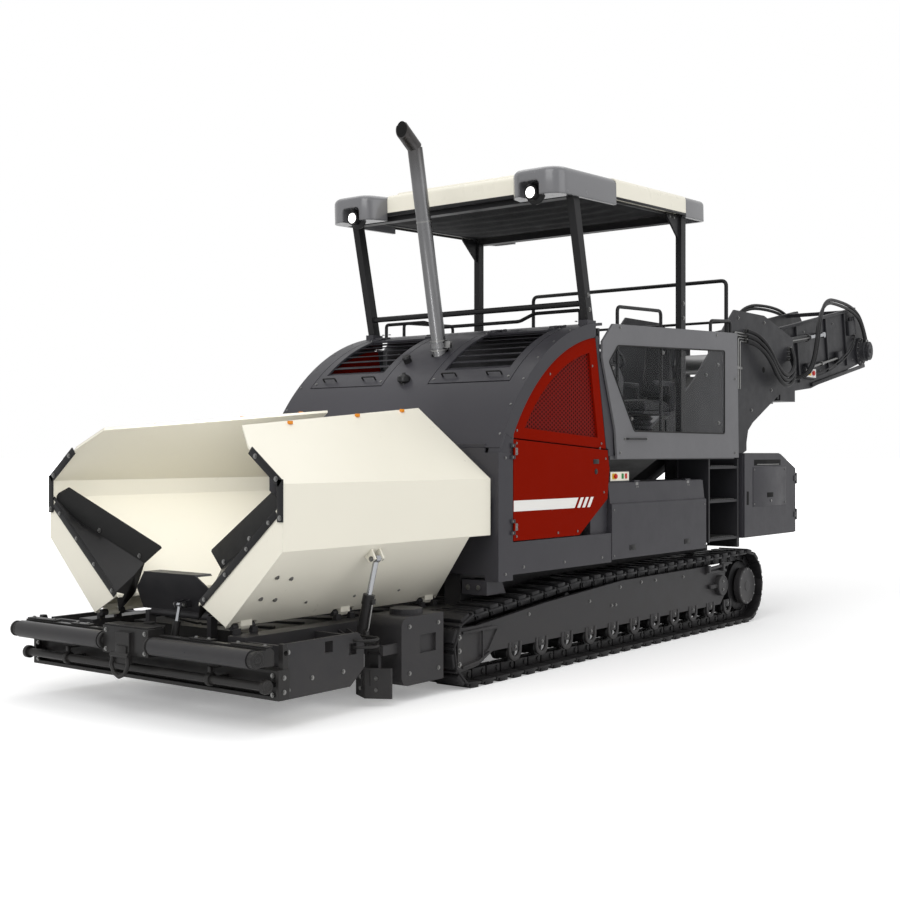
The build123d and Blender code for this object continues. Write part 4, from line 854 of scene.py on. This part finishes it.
for side, s in SIDES:
    door, lid = "locker_door_" + side, "tool_lid_" + side
    bm = bmesh.new()
    for y in (0.17, 1.165):
        slab(bm, s * 1.215, 0.002, (y - 0.024, y + 0.024), (1.436, 1.494), 0.001)
        side_bolts(bm, s, 1.217, ((y - 0.013, 1.455), (y + 0.013, 1.455)), 0.006)
    side_bolts(bm, s, 1.254, product((-0.30, 1.44), (0.86, 1.26)), 0.006)
    settle("locker_hinges_" + side, bm, zinc, door)
    bm = bmesh.new()
    for y in (0.025, 1.07):
        slab(bm, s * 1.2555, 0.003, (y - 0.055, y + 0.055), (0.893, 0.941), 0.003)
        slab(bm, s * 1.2595, 0.003, (y - 0.030, y + 0.040), (0.905, 0.929), 0.003)
    settle("locker_latches_" + side, bm, black_paint, door)
    plaque("switch_plate_" + side, cream, "chassis", "cream", s * 1.198, 0.003, (-0.272, 0.052),
           (1.512, 1.592), 0.002)
    plaque("switch_yellow_" + side, yellow, "chassis", "cream",
           s * 1.203, 0.003, (-0.245, -0.175), (1.528, 1.578), 0.002)
    bm = bmesh.new()
    place_turned(bm, STOP_BUTTON, at(0, -0.210, 1.553), 24, flip=s)
    slab(bm, s * 1.204, 0.004, (-0.020, 0.010), (1.530, 1.576), 0.003)
    settle("switch_red_" + side, bm, button_red, "chassis")
    plaque("switch_green_" + side, button_green, "chassis", "plastic",
           s * 1.204, 0.004, (-0.080, -0.050), (1.530, 1.576), 0.003)
    plaque("box_flap_" + side, body_paint, lid, "anthracite",
           s * 1.2515, 0.0025, (2.570, 3.430), (1.195, 1.612), 0.002)
    # The thin near-black strips are painted shade in the lid's slots; the raised block among them is the flap
    # latch.
    bm = bmesh.new()
    slab(bm, s * 1.2505, 0.0015, (2.60, 3.28), (1.628, 1.690), 0.001)
    slab(bm, s * 1.2540, 0.004, (2.925, 3.075), (1.288, 1.338), 0.003)
    slab(bm, s * 1.2505, 0.0015, (2.42, 2.47), (1.22, 1.36), 0.001)
    settle("box_slots_" + side, bm, soot_and_painted_shade, lid)
    bm = bmesh.new()
    place_rod(bm, at(s * 1.2535, 2.66, 1.640), at(s * 1.2535, 3.23, 1.640), 0.005, 12)
    side_bolts(bm, s, 1.254, product((2.60, 3.40), (1.225, 1.585)), 0.006)
    side_bolts(bm, s, 1.258, [(3.665, z + d) for z, d in product((1.08, 1.48), (-0.016, 0.016))], 0.006)
    place_turned(bm, BOX_LOCK, at(0, 3.02, 1.250), 20, flip=s)
    settle("box_fittings_" + side, bm, zinc, lid)

# Operator platform: tread plate floor with a raised diamond pattern, worn bright on its ridges.
# The ladder's steps carry raised grip bars.
STUD_WAVE = 82.0


def tread_plate():
    material = painted("tread_plate", (0.085, 0.085, 0.090), 0.36, dust=0.3, metal=0.5, edge=0.004)
    tree, shader = shader_of(material)
    place = axes(tree)
    waves = []
    for way in ("ADD", "SUBTRACT"):
        slant = math_node(tree, way, place["X"], place["Y"])
        waves.append(math_node(tree, "COSINE", math_node(tree, "MULTIPLY", slant, STUD_WAVE)))
    stud = ramp(tree, math_node(tree, "MULTIPLY", *waves), 0.35, 2.5)
    stud = math_node(tree, "MULTIPLY", stud, ramp(tree, axes(tree, "Normal")["Z"], 0.93, 40.0))
    worn = math_node(tree, "MULTIPLY", stud, 0.8)
    colour = mix_node(tree, worn, feeding(shader, "Base Color"), (0.24, 0.24, 0.245, 1.0))
    raised = bump_node(tree, stud, 0.8, 0.004, feeding(shader, "Normal"))
    tree.links.new(colour, shader.inputs["Base Color"])
    tree.links.new(raised, shader.inputs["Normal"])
    return material


dress(tread_plate(), "deck")
bm = bmesh.new()
for s, z, i in product(BOTH, (0.906, 1.286, 1.626), range(12)):
    y = 1.660 + i * 0.050
    slab(bm, s * 1.045, 0.150, (y, y + 0.016), (z - 0.001, z + 0.008), 0.002)
settle("ladder_treads", bm, drum_steel, "chassis")

# Wind shields: grey textured sheet plates with a clear pane behind a rubber bead.
# Screws hold plate and pane; a grab handle sits below the window and a grab rail at its rear.
shield_grey = painted("shield_grey", (0.135, 0.135, 0.142), 0.42, dust=0.08, spread=0.22, bump=0.12)
dress(shield_grey, "shields")
pane, tree, shader = new_material("clear_pane")
# The pane is a faint grey film in patches: painted reflection of the glass, patchy like smears, which also
# roughen it.
smear_and_painted_sheen = math_node(tree, "MULTIPLY", noise_node(tree, 1.3, 2.0, 0.4), 0.03)
for label, value in (("Base Color", (0.45, 0.47, 0.48, 1.0)), ("Specular IOR Level", 0.05), ("Alpha", smear_and_painted_sheen),
                     ("Roughness", math_node(tree, "ADD", smear_and_painted_sheen, 0.1))):
    plug(tree, value, shader.inputs[label])
dress(pane, "shield_glass")
WINDOW = ((-0.240, 2.700), (1.880, 2.785), (1.880, 1.955), (0.050, 1.955), (-0.390, 2.550))
SHIELD_HANDLE = ((1.254, -0.10, 1.884), (1.275, -0.085, 1.884), (1.275, 0.245, 1.886), (1.254, 0.26, 1.886))
REAR_GRAB = ((1.215, 1.65, 2.82), (1.215, 1.65, 3.075), (1.215, 2.10, 3.105), (1.215, 2.10, 2.82))
for side, s in SIDES:
    bead = [at(s * 1.2565, y, z) for y, z in WINDOW]
    pipe("window_bead_" + side, bead, 0.007, rubber, "chassis", 0.05, True)
    pipe("shield_handle_" + side, route(SHIELD_HANDLE, s), 0.008, black_paint, "chassis", 0.008)
    bm = bmesh.new()
    side_bolts(bm, s, 1.256, ((-0.20, 2.860), (1.706, 2.930), (2.128, 2.515), (2.128, 1.76), (-0.20, 1.76),
                              (-0.118, 1.884), (0.281, 1.886)), 0.010)
    side_bolts(bm, s, 1.247, ((0.607, 2.690), (-0.310, 2.500), (1.753, 2.640), (0.020, 2.065),
                              (1.771, 2.060)), 0.012)
    settle("shield_screws_" + side, bm, zinc, "chassis")
    pipe("rear_grab_" + side, route(REAR_GRAB, s), 0.016, black_paint, "chassis", 0.09)

# Operator seats: sewn black covers over foam on a bellows pedestal, with arm rests.
# A console with a wheel and levers stands in front of each seat.
cover = painted("seat_cover", (0.022, 0.022, 0.024), 0.62, dust=0.15, bump=0.35, edge=0.0)
console_paint = painted("console_paint", (0.030, 0.030, 0.033), 0.5, dust=0.1, bump=0.10)
SEAT_X = 0.94
SWELL_CAP = 0.016
CONSOLE = ((-0.25, 1.731), (-0.07, 1.731), (0.03, 2.42), (-0.07, 2.545), (-0.25, 2.545))
RIM_R, RIM_Y, RIM_Z = 0.165, 0.10, 2.63


def cushion(name, low, high, taper, lean):
    bm = bmesh.new()
    place_box(bm, low, high, 0.0)
    bmesh.ops.subdivide_edges(bm, edges=bm.edges, cuts=9, use_grid_fill=True)
    middle, half = (low + high) / 2, (high - low) / 2
    for vert in bm.verts:
        u, v, w = ((vert.co[i] - middle[i]) / half[i] for i in range(3))
        thin = 1 - taper * max(abs(u) ** 4, abs(v if lean == 0 else w) ** 4)
        if lean == 0:
            vert.co.z = low.z + (vert.co.z - low.z) * thin
            vert.co.x = middle.x + u * half.x * (1 - 0.05 * (1 - abs(v)))
        else:
            vert.co.y = high.y - (high.y - vert.co.y) * thin + w * lean
            vert.co.x = middle.x + u * half.x * (1 - 0.06 * w)
    mesh = bpy.data.meshes.new(name)
    bmesh.ops.recalc_face_normals(bm, faces=bm.faces)
    bm.to_mesh(mesh)
    bm.free()
    piece = show(name, mesh)
    swell(piece)
    piece.data.shade_smooth()
    piece.data.materials.append(cover)
    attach(piece, "chassis")


def swell(piece):
    remesh = piece.modifiers.new("remesh", "REMESH")
    remesh.mode = "VOXEL"
    remesh.voxel_size = 0.010
    even = evaluated_mesh(piece)
    piece.modifiers.clear()
    piece.data = even
    start = [vert.co.copy() for vert in even.vertices]
    cloth = piece.modifiers.new("cloth", "CLOTH")
    cloth.settings.use_pressure = True
    cloth.settings.uniform_pressure_force = 4.0
    cloth.settings.effector_weights.gravity = 0.0
    scene = bpy.context.scene
    for step in range(1, 16):
        scene.frame_set(step)
    puffed = evaluated_mesh(piece)
    piece.modifiers.clear()
    for vert, was in zip(puffed.vertices, start):
        moved = vert.co - was
        vert.co = was + moved * min(1.0, SWELL_CAP / max(moved.length, 1e-6))
    piece.data = puffed
    scene.frame_set(1)


for side, s in SIDES:
    x = s * SEAT_X
    cushion("seat_pad_" + side, at(x - 0.19, 0.47, 2.150), at(x + 0.19, 0.98, 2.250), 0.35, 0)
    cushion("seat_back_" + side, at(x - 0.15, 1.00, 2.290), at(x + 0.15, 1.10, 2.840), 0.40, 0.038)
    bm = bmesh.new()
    slab(bm, x, 0.195, (0.45, 1.0), (2.118, 2.150), 0.012)
    slab(bm, x, 0.13, (1.085, 1.125), (2.14, 2.60), 0.014)
    for arm in (-0.215, 0.180):
        place_box(bm, at(x + arm, 0.62, 2.395), at(x + arm + 0.035, 1.04, 2.440), 0.014)
        place_box(bm, at(x + arm + 0.004, 0.985, 2.16), at(x + arm + 0.031, 1.030, 2.41), 0.008)
    for i in range(7):
        z = 1.76 + i * 0.050
        place_rod(bm, at(x, 0.70, z), at(x, 0.70, z + 0.025), 0.105, 28, 0.135)
        place_rod(bm, at(x, 0.70, z + 0.025), at(x, 0.70, z + 0.050), 0.135, 28, 0.105)
    slab(bm, x, 0.15, (0.54, 0.86), (1.731, 1.765), 0.010)
    settle("seat_frame_" + side, bm, console_paint, "chassis")
    bm = bmesh.new()
    side_plate(bm, s, 0.77, CONSOLE, 0.40, 0.020)
    place_rod(bm, at(x, -0.02, 2.46), at(x, 0.10, 2.62), 0.022, 20)
    place_rod(bm, at(x - 0.13, -0.14, 2.54), at(x - 0.13, -0.12, 2.64), 0.008, 12)
    place_rod(bm, at(x - 0.13, -0.12, 2.63), at(x - 0.13, -0.11, 2.67), 0.018, 16, 0.013)
    slab(bm, x + 0.11, 0.08, (-0.22, -0.10), (2.54, 2.66), 0.012)
    console = settle("console_" + side, bm, console_paint, "chassis")
    rim = arc((0, 0), RIM_R, RIM_R, full_turn(16))
    ring = [at(x + u, RIM_Y + v * 0.80, RIM_Z - v * 0.60) for u, v in rim]
    pipe("wheel_rim_" + side, ring, 0.014, console_paint, "chassis", 0.03, True)
    bm = bmesh.new()
    hub = at(x, RIM_Y, RIM_Z)
    for i in (2, 7, 12):
        place_rod(bm, hub, ring[i].lerp(hub, 0.02), 0.009, 12)
    settle("wheel_spokes_" + side, bm, console_paint, "chassis")
    if s == 1:
        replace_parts(console, "seats")

# Hand rails: bent steel tubes bolted to the floor and the hood, with smooth bends.
# Bolts tie down the roof posts and the feet of the hood rail.
FLOOR = 1.7303
RAIL_X, REAR_X, REAR_Y = 1.215, 1.18, 2.08
HOOD_RAIL = ((1.09, 2.868), (1.09, 2.99), (0.62, 2.99), (0.46, 2.93), (-0.46, 2.93), (-0.62, 2.99),
             (-1.09, 2.99), (-1.09, 2.868))
rail = pipe("hood_rail", [at(x, -0.60, z) for x, z in HOOD_RAIL], 0.016, black_paint, "chassis",
            0.06)
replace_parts(rail, "rails")
for side, s in SIDES:
    line = [at(s * RAIL_X, y, z) for y, z in ((-0.18, FLOOR), (-0.18, 3.05), (0.62, 3.08), (0.62, FLOOR))]
    pipe("side_rail_" + side, line, 0.016, black_paint, "chassis", 0.10)
line = [at(x, REAR_Y, z) for x, z in ((REAR_X, FLOOR), (REAR_X, 3.52), (-REAR_X, 3.52), (-REAR_X, FLOOR))]
pipe("rear_rail", line, 0.020, black_paint, "chassis", 0.12)
line = [at(x, REAR_Y, 3.10) for x in (REAR_X, -REAR_X)]
pipe("middle_rail", line, 0.014, black_paint, "chassis")
bm = bmesh.new()
for s in BOTH:
    side_bolts(bm, s, 1.230, ((-0.676, 2.98), (-0.700, 3.10)), 0.014)
    side_bolts(bm, s, 1.225, ((1.055, 3.05), (1.055, 3.19)), 0.014)
    side_bolts(bm, s, 1.203, ((0.90, 3.99), (0.82, 3.99)), 0.009)
    place_bolts(bm, [at(s * x, -0.60, 2.893) for x in (1.05, 1.13)], (0, 0, 1), 0.009)
settle("post_bolts", bm, zinc, "chassis")

# Canopy: a moulded roof with cream panels between glossy grey corner mouldings.
# A dark woven liner is stretched below it over four bows; the working lamps sit in the front corners.
corner_grey = painted("corner_grey", (0.13, 0.13, 0.138), 0.22, dust=0.04, spread=0.2, bump=0.006, edge=0.030,
                      gloss=0.55)
for label, value in (("Coat Weight", 0.6), ("Coat Roughness", 0.10)):
    shader_of(corner_grey)[1].inputs[label].default_value = value
roof_cream = painted("roof_cream", (0.80, 0.770, 0.665), 0.30, dust=0.03, spread=0.05, bump=0.008, edge=0.010)
roof_turn = Matrix.Translation(at(0, 0, 4.005)) @ Matrix.Rotation(math.radians(2.06), 4, "X")
ROOF_HALF = 1.27
NOSE_X, NOSE_Y = 0.74, -0.29
TAIL_X, TAIL_Y = 1.0, 1.02
SEAM = 0.0003
LAMP_X, LAMP_Z = 0.985, -0.040
HIT = 0.001


def moulding(outline, low, high, crown):
    bm = bmesh.new()
    place_plate(bm, [(x, y, low) for x, y in outline], (0, 0, high - low), 0.0)
    top = [edge for edge in bm.edges if all(vert.co.z > high - 0.001 for vert in edge.verts)]
    outer = [edge for edge in top if edge.calc_length() > 0.001 and outside(edge)]
    bmesh.ops.bevel(bm, geom=outer, offset=crown, segments=5, profile=0.5, affect="EDGES", material=-1)
    return bm


def outside(edge):
    middle = (edge.verts[0].co + edge.verts[1].co) / 2
    on_nose = abs(abs(middle.x) - NOSE_X) < HIT or abs(middle.y - NOSE_Y) < HIT
    on_tail = abs(middle.y - TAIL_Y) < HIT or (abs(abs(middle.x) - TAIL_X) < HIT and middle.y > 1.0)
    return not (on_nose or on_tail)


def carve(name, bm, hollow):
    solids = []
    for shape in (bm, hollow):
        bmesh.ops.recalc_face_normals(shape, faces=shape.faces)
        mesh = bpy.data.meshes.new(name)
        shape.to_mesh(mesh)
        shape.free()
        solids.append(show(name, mesh))
    cut = solids[0].modifiers.new("cut", "BOOLEAN")
    cut.object = solids[1]
    cut.operation = "DIFFERENCE"
    done = evaluated_mesh(solids[0])
    for solid in solids:
        bpy.data.objects.remove(solid)
    result = bmesh.new()
    result.from_mesh(done)
    return settle(name, result, corner_grey, "chassis", roof_turn)


nose = [(NOSE_X + SEAM, -1.0), (0.765, -1.115), (0.795, -1.180), (0.840, -1.222), (0.895, -1.236)]
nose += arc((1.110, -1.076), 0.160, 0.160, evenly(-90, 0, 8))
nose += [(ROOF_HALF, NOSE_Y - SEAM), (NOSE_X + SEAM, NOSE_Y - SEAM)]
tail = [(TAIL_X + SEAM, TAIL_Y + SEAM), (ROOF_HALF, TAIL_Y + SEAM)]
tail += arc((1.180, 1.372), 0.090, 0.090, evenly(0, 90, 6)) + [(TAIL_X + SEAM, 1.462)]
for side, s in SIDES:
    hollow = bmesh.new()
    slab(hollow, s * LAMP_X, 0.100, (-1.40, -1.120), (-0.30, 0.052), 0.030, local)
    slab(hollow, s * 0.968, 0.268, (-1.00, 0.0), (-0.30, -0.001), 0.0, local)
    corner = carve("front_corner_" + side, moulding([(s * x, y) for x, y in nose], -0.070, 0.160, 0.055),
                   hollow)
    if s == 1:
        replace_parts(corner, "canopy_corners")
    hollow = bmesh.new()
    slab(hollow, s * 1.10, 0.13, (0.90, 1.42), (-0.30, 0.0), 0.0, local)
    carve("rear_corner_" + side, moulding([(s * x, y) for x, y in tail], -0.035, 0.160, 0.045), hollow)
half = [(NOSE_X, -1.0), (NOSE_X, NOSE_Y), (ROOF_HALF, NOSE_Y), (ROOF_HALF, TAIL_Y), (TAIL_X, TAIL_Y),
        (TAIL_X, 1.44)]
bm = moulding([(-NOSE_X, -1.0)] + half + [(-x, y) for x, y in half[:0:-1]], 0.0, 0.165, 0.045)
crown = [(-0.68, -0.93), (0.68, -0.93), (1.17, -0.18), (1.17, 1.36), (-1.17, 1.36), (-1.17, -0.18)]
raised = moulding(crown, 0.150, 0.194, 0.034)
shape = bpy.data.meshes.new("roof_crown")
raised.to_mesh(shape)
raised.free()
bm.from_mesh(shape)
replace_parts(settle("roof_shell", bm, roof_cream, "chassis", roof_turn), "canopy")
bm = bmesh.new()
slab(bm, 0.0, NOSE_X, (-1.004, -0.970), (-0.028, 0.004), 0.004, local)
for s in BOTH:
    slab(bm, s * 1.262, 0.008, (NOSE_Y, TAIL_Y), (-0.020, 0.004), 0.004, local)
settle("roof_lip", bm, black_paint, "chassis", roof_turn)


def liner_cloth():
    material = painted("liner_cloth", (0.010, 0.010, 0.011), 0.75, dust=0.1, bump=0.05, edge=0.0)
    tree, shader = shader_of(material)
    place = axes(tree)
    threads = [math_node(tree, "SINE", math_node(tree, "MULTIPLY", place[way], 1400.0)) for way in "XY"]
    weave = bump_node(tree, math_node(tree, "MULTIPLY", *threads), 0.3, 0.001, feeding(shader, "Normal"))
    tree.links.new(weave, shader.inputs["Normal"])
    return material


bm = bmesh.new()
bmesh.ops.create_grid(bm, x_segments=60, y_segments=60, size=1.0)
for vert in bm.verts:
    u, v = vert.co.x, vert.co.y
    sag = (1 - u ** 4) * (0.020 + 0.020 * math.cos(3 * math.pi * v) ** 2) * (1 - v ** 6)
    ripple = 0.003 * math.sin(9 * v + 4 * u) * (1 - u * u)
    vert.co = (u * 1.12, 0.10 + v * 0.84, -0.012 - sag + ripple)
liner = settle("roof_liner", bm, liner_cloth(), "chassis", roof_turn)
bm = bmesh.new()
for y in (-0.73, -0.18, 0.38, 0.93):
    slab(bm, 0.0, 1.14, (y - 0.014, y + 0.014), (-0.012, 0.002), 0.004, local)
for s in BOTH:
    slab(bm, s * 1.15, 0.02, (-0.75, 0.96), (-0.018, 0.002), 0.005, local)
settle("liner_bows", bm, black_paint, "chassis", roof_turn)
lens_light, tree, shader = new_material("lens_light")
shader.inputs["Base Color"].default_value = (0.9, 0.9, 0.9, 1.0)
shader.inputs["Emission Color"].default_value = (1.0, 0.98, 0.94, 1.0)
facets = math_node(tree, "ADD", math_node(tree, "MULTIPLY", noise_node(tree, 90.0, 1.0), 1.2), 1.6)
tree.links.new(facets, shader.inputs["Emission Strength"])
BEZEL = ((-1.121, 0.0), (-1.121, 0.092), (-1.135, 0.094), (-1.150, 0.058), (-1.216, 0.062), (-1.222, 0.057),
         (-1.222, 0.048), (-1.214, 0.046), (-1.214, 0.0))
LENS = ((-1.2145, 0.0465), (-1.219, 0.044), (-1.2225, 0.032), (-1.224, 0.016), (-1.2245, 0.0))
for side, s in SIDES:
    centre = local(s * LAMP_X, 0, LAMP_Z)
    bm = bmesh.new()
    place_turned(bm, BEZEL, centre, 32, (0, 1, 0))
    bezel = settle("lamp_bezel_" + side, bm, black_paint, "chassis", roof_turn)
    if s == 1:
        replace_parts(bezel, "lamps")
    bm = bmesh.new()
    place_turned(bm, LENS, centre, 32, (0, 1, 0))
    settle("lamp_lens_" + side, bm, lens_light, "chassis", roof_turn)

# Rear conveyor: hoses and hard pipes run along the side plates to the slewing conveyor's motor.
# The hoses are rubber with hexagon fittings; the pipes are zinc plated.
SLEW_HOSE = ((0.735, 3.56, 3.14), (0.80, 3.68, 3.12), (0.83, 3.95, 2.98), (0.83, 4.20, 2.76),
             (0.83, 4.45, 2.66), (0.83, 4.64, 2.74), (0.81, 4.74, 2.90), (0.735, 4.80, 3.02))
# Motor hoses: x, y, step in y from hose to hose, z, step in z.
MOTOR_HOSE = ((0.450, 5.62, 0.07, 2.72, 0), (0.55, 5.65, 0.07, 2.73, 0), (0.62, 5.74, 0.06, 2.87, 0),
              (0.64, 5.83, 0.06, 3.15, 0), (0.62, 5.96, 0.05, 3.50, 0), (0.56, 6.36, 0, 3.74, 0.04),
              (0.50, 6.95, 0, 3.76, 0.05), (0.50, 7.50, 0, 3.72, 0.05), (0.50, 7.86, 0, 3.57, 0.04),
              (0.50, 7.96, 0.06, 3.33, 0))
# Signal hoses: x, y, z, step in z from hose to hose.
SIGNAL_HOSE = ((0.440, 6.27, 2.775, 0.04), (0.470, 6.40, 2.785, 0.04), (0.490, 6.70, 2.86, 0.04),
               (0.490, 7.05, 2.98, 0.04), (0.490, 7.40, 3.13, 0.05), (0.475, 7.62, 3.28, 0.05),
               (0.440, 7.72, 3.36, 0.05))
PLATE_HOLE = ((0.699, 0.0), (0.699, 0.034), (0.7015, 0.034), (0.7015, 0.0))
MOTOR_Y, MOTOR_Z = 2.86, -0.075
MOTOR = ((0.420, 0.0), (0.420, 0.195), (0.446, 0.195), (0.452, 0.187), (0.452, 0.150), (0.470, 0.142),
         (0.520, 0.140), (0.528, 0.132), (0.528, 0.092), (0.566, 0.088), (0.574, 0.078), (0.574, 0.030),
         (0.584, 0.026), (0.584, 0.0))
RED_BUTTON = ((0.464, 0.0), (0.464, 0.022), (0.480, 0.022), (0.480, 0.034), (0.489, 0.031), (0.490, 0.0))
# Ribs, top rail, lower rail and boxes of the swivel frame: x, half width, y range, z range, softening.
SWIVEL_RIBS = [(0.432, 0.014, (y - 0.02, y + 0.02), (-0.20, 0.535), 0.005) for y in (0.62, 1.62, 2.30)]
SWIVEL_RIBS += [(0.435, 0.017, (0.12, 2.72), (0.520, 0.560), 0.006),
                (0.434, 0.015, (1.0, 2.95), (-0.310, -0.262), 0.005),
                (0.452, 0.032, (1.88, 2.02), (-0.135, 0.035), 0.010),
                (0.452, 0.032, (0.80, 0.92), (-0.115, 0.015), 0.010),
                (0.448, 0.028, (2.36, 2.62), (0.20, 0.40), 0.010)]
for side, s in SIDES:
    bm = bmesh.new()
    for i in range(3):
        gap = 0.062 * i
        hose("slew_hose_%s_%d" % (side, i), route([(x, y, z - gap) for x, y, z in SLEW_HOSE], s), 0.044,
             "chassis")
        for y, z in ((3.56, 3.14), (4.80, 3.02)):
            place_rod(bm, at(s * 0.699, y, z - gap), at(s * 0.738, y, z - gap), 0.024, 6)
    for i in range(4):
        y, top = 3.28 + 0.045 * i, 3.02 + 0.03 * (3 - i)
        line = [at(s * 0.712, y, 2.48), at(s * 0.712, y, top), at(s * 0.712, y + 0.24, top)]
        pipe("plate_pipe_%s_%d" % (side, i), line, 0.009, zinc, "chassis", 0.05)
    slab(bm, s * 0.712, 0.016, (3.25, 3.45), (2.70, 2.73))
    side_bolts(bm, s, 0.70, ((2.60, 2.60), (3.00, 2.95), (3.75, 2.25), (4.30, 2.50), (4.80, 2.66),
                             (4.10, 3.28), (3.40, 3.28)), 0.013)
    settle("plate_fittings_" + side, bm, zinc, "chassis")
    # A near-black disc on each side plate is painted shade in the plate's hole.
    bm = bmesh.new()
    place_turned(bm, PLATE_HOLE, at(0, 4.079, 2.728), 28, flip=s)
    settle("plate_hole_" + side, bm, soot_and_painted_shade, "chassis")
    bm = bmesh.new()
    for i in range(2):
        line = [at(s * x, y + dy * i, z + dz * i) for x, y, dy, z, dz in MOTOR_HOSE]
        hose("motor_hose_%s_%d" % (side, i), line, 0.042, "swivel")
        line = [at(s * x, y, z + dz * i) for x, y, z, dz in SIGNAL_HOSE]
        hose("signal_hose_%s_%d" % (side, i), line, 0.018, "swivel")
        low, high, end = 5.62 + 0.07 * i, 3.36 + 0.05 * i, 7.96 + 0.06 * i
        place_rod(bm, at(s * 0.419, 7.72, high), at(s * 0.446, 7.72, high), 0.014, 6)
        place_rod(bm, at(s * 0.419, low, 2.72), at(s * 0.455, low, 2.72), 0.028, 6)
        place_rod(bm, at(s * 0.50, end, 3.29), at(s * 0.50, end + 0.005, 3.36), 0.027, 6)
    settle("motor_fittings_" + side, bm, zinc, "swivel")
    bm = bmesh.new()
    for x, half, ys, zs, soft in SWIVEL_RIBS:
        slab(bm, s * x, half, ys, zs, soft, local)
    place_turned(bm, MOTOR, (0, MOTOR_Y, MOTOR_Z), 48, flip=s)
    for y in (2.42, 2.49, 2.56):
        place_rod(bm, (s * 0.470, y, 0.40), (s * 0.470, y, 0.45), 0.016, 16)
    settle("swivel_ribs_" + side, bm, frame_paint, "swivel", swivel_turn)
    bm = bmesh.new()
    side_bolts(bm, s, 0.4525, arc((MOTOR_Y, MOTOR_Z), 0.169, 0.169, full_turn(14)), 0.012, local)
    place_rod(bm, (s * 0.458, 0.90, -0.050), (s * 0.458, 1.90, -0.050), 0.017, 20)
    place_rod(bm, (s * 0.458, 1.30, -0.050), (s * 0.458, 1.36, -0.050), 0.032, 6)
    side_bolts(bm, s, 0.4205, product((0.30, 0.90, 1.35, 1.90, 2.55), (-0.15, 0.42)), 0.010, local)
    settle("swivel_bolts_" + side, bm, zinc, "swivel", swivel_turn)
    plaque("control_box_" + side, console_paint, "swivel", "anthracite",
           s * 0.440, 0.022, (5.92, 6.28), (2.725, 2.875), 0.006)
    plaque("control_plate_" + side, white_band, "swivel", "cream",
           s * 0.4635, 0.002, (5.945, 6.255), (2.745, 2.855), 0.001)
    plaque("control_yellow_" + side, yellow, "swivel", "cream", s * 0.467, 0.002, (6.00, 6.085),
           (2.765, 2.835), 0.001)
    bm = bmesh.new()
    place_turned(bm, RED_BUTTON, at(0, 6.150, 2.800), 24, flip=s)
    settle("control_red_" + side, bm, button_red, "swivel")
    foot, eye = at(s * 0.515, 5.07, 3.13), at(s * 0.515, 6.368, 3.311)
    way = (eye - foot).normalized()
    bm = bmesh.new()
    for near, far, radius in ((0.735, 0.798, 0.049), (0.075, 0.100, 0.048)):
        place_rod(bm, foot + way * near, foot + way * far, radius, 32)
    for near in (0.10, 0.70):
        port = foot + way * near + Vector((s * 0.055, 0, 0))
        place_box(bm, port - Vector((0.018, 0.022, 0.022)), port + Vector((0.018, 0.022, 0.022)), 0.005)
    settle("lift_gland_" + side, bm, black_paint, "lift_barrel_" + side)
    line = [foot + way * near + Vector((s * 0.065, 0, 0)) for near in (0.10, 0.70)]
    pipe("lift_pipe_" + side, line, 0.008, zinc, "lift_barrel_" + side)

# Studio: a plain pale floor, a white surround and broad soft lights, seen from the photo's place.
# Nothing here belongs to the machine; the floor only keeps its shadow.
bm = bmesh.new()
bmesh.ops.create_grid(bm, x_segments=1, y_segments=1, size=400.0)
mesh = bpy.data.meshes.new("studio_floor")
bm.to_mesh(mesh)
bm.free()
studio_floor = show("studio_floor", mesh)
floor_paint, tree, shader = new_material("floor_paint")
grain = math_node(tree, "MULTIPLY", noise_node(tree, 0.3, 2.0), 0.1)
where = add_node(tree, "ShaderNodeTexCoord")
away = add_node(tree, "ShaderNodeVectorMath", operation="LENGTH")
tree.links.new(where.outputs["Object"], away.inputs[0])
far_off = ramp(tree, away.outputs["Value"], 9.0, 0.06)
glow = math_node(tree, "ADD", math_node(tree, "MULTIPLY", far_off, 0.75), 0.25)
seen = add_node(tree, "ShaderNodeLightPath").outputs["Is Camera Ray"]
for label, value in (("Roughness", math_node(tree, "ADD", grain, 0.85)),
                     ("Base Color", (0.86, 0.86, 0.86, 1.0)), ("Emission Color", (1.0, 1.0, 1.0, 1.0)),
                     ("Emission Strength", math_node(tree, "MULTIPLY", seen, glow))):
    plug(tree, value, shader.inputs[label])
mesh.materials.append(floor_paint)

world = bpy.data.worlds.new("studio")
bpy.context.scene.world = world
world.use_nodes = True
sky = world.node_tree
seen = add_node(sky, "ShaderNodeLightPath").outputs["Is Camera Ray"]
strength = math_node(sky, "ADD", math_node(sky, "MULTIPLY", seen, 0.20), 0.80)
sky.links.new(strength, sky.nodes["Background"].inputs["Strength"])
sky.nodes["Background"].inputs["Color"].default_value = (1.0, 1.0, 1.0, 1.0)

# Each light: name, place, aim, size, power.
LIGHTS = (("key", (4.0, -13.0, 11.0), (0, 0, 1.5), 9.0, 560.0),
          ("side", (13.0, -1.0, 8.0), (0, 0, 1.5), 9.0, 230.0),
          ("bowl", (0.45, -5.0, 2.62), (-1.0, -5.0, 2.30), 1.0, 28.0),
          ("top", (-2.0, 1.0, 13.0), (0, 0, 0), 12.0, 420.0))
for name, place, aim, size, power in LIGHTS:
    lamp = bpy.data.lights.new(name, "AREA")
    lamp.size = size
    lamp.energy = power
    holder = show(name, lamp)
    holder.visible_camera = False
    holder.location = place
    holder.rotation_euler = (Vector(aim) - Vector(place)).to_track_quat("-Z", "Y").to_euler()

view = bpy.data.cameras.new("photo_view")
view.sensor_width = 36.0
view.lens = 52.4
view.shift_y = 0.0044
camera = show("photo_view", view)
camera.location = (7.05, -12.007, 1.75)
camera.rotation_euler = (math.radians(90), 0, math.radians(37.35))
bpy.context.scene.camera = camera
bpy.context.scene.view_settings.view_transform = "Standard"

bpy.context.view_layer.update()
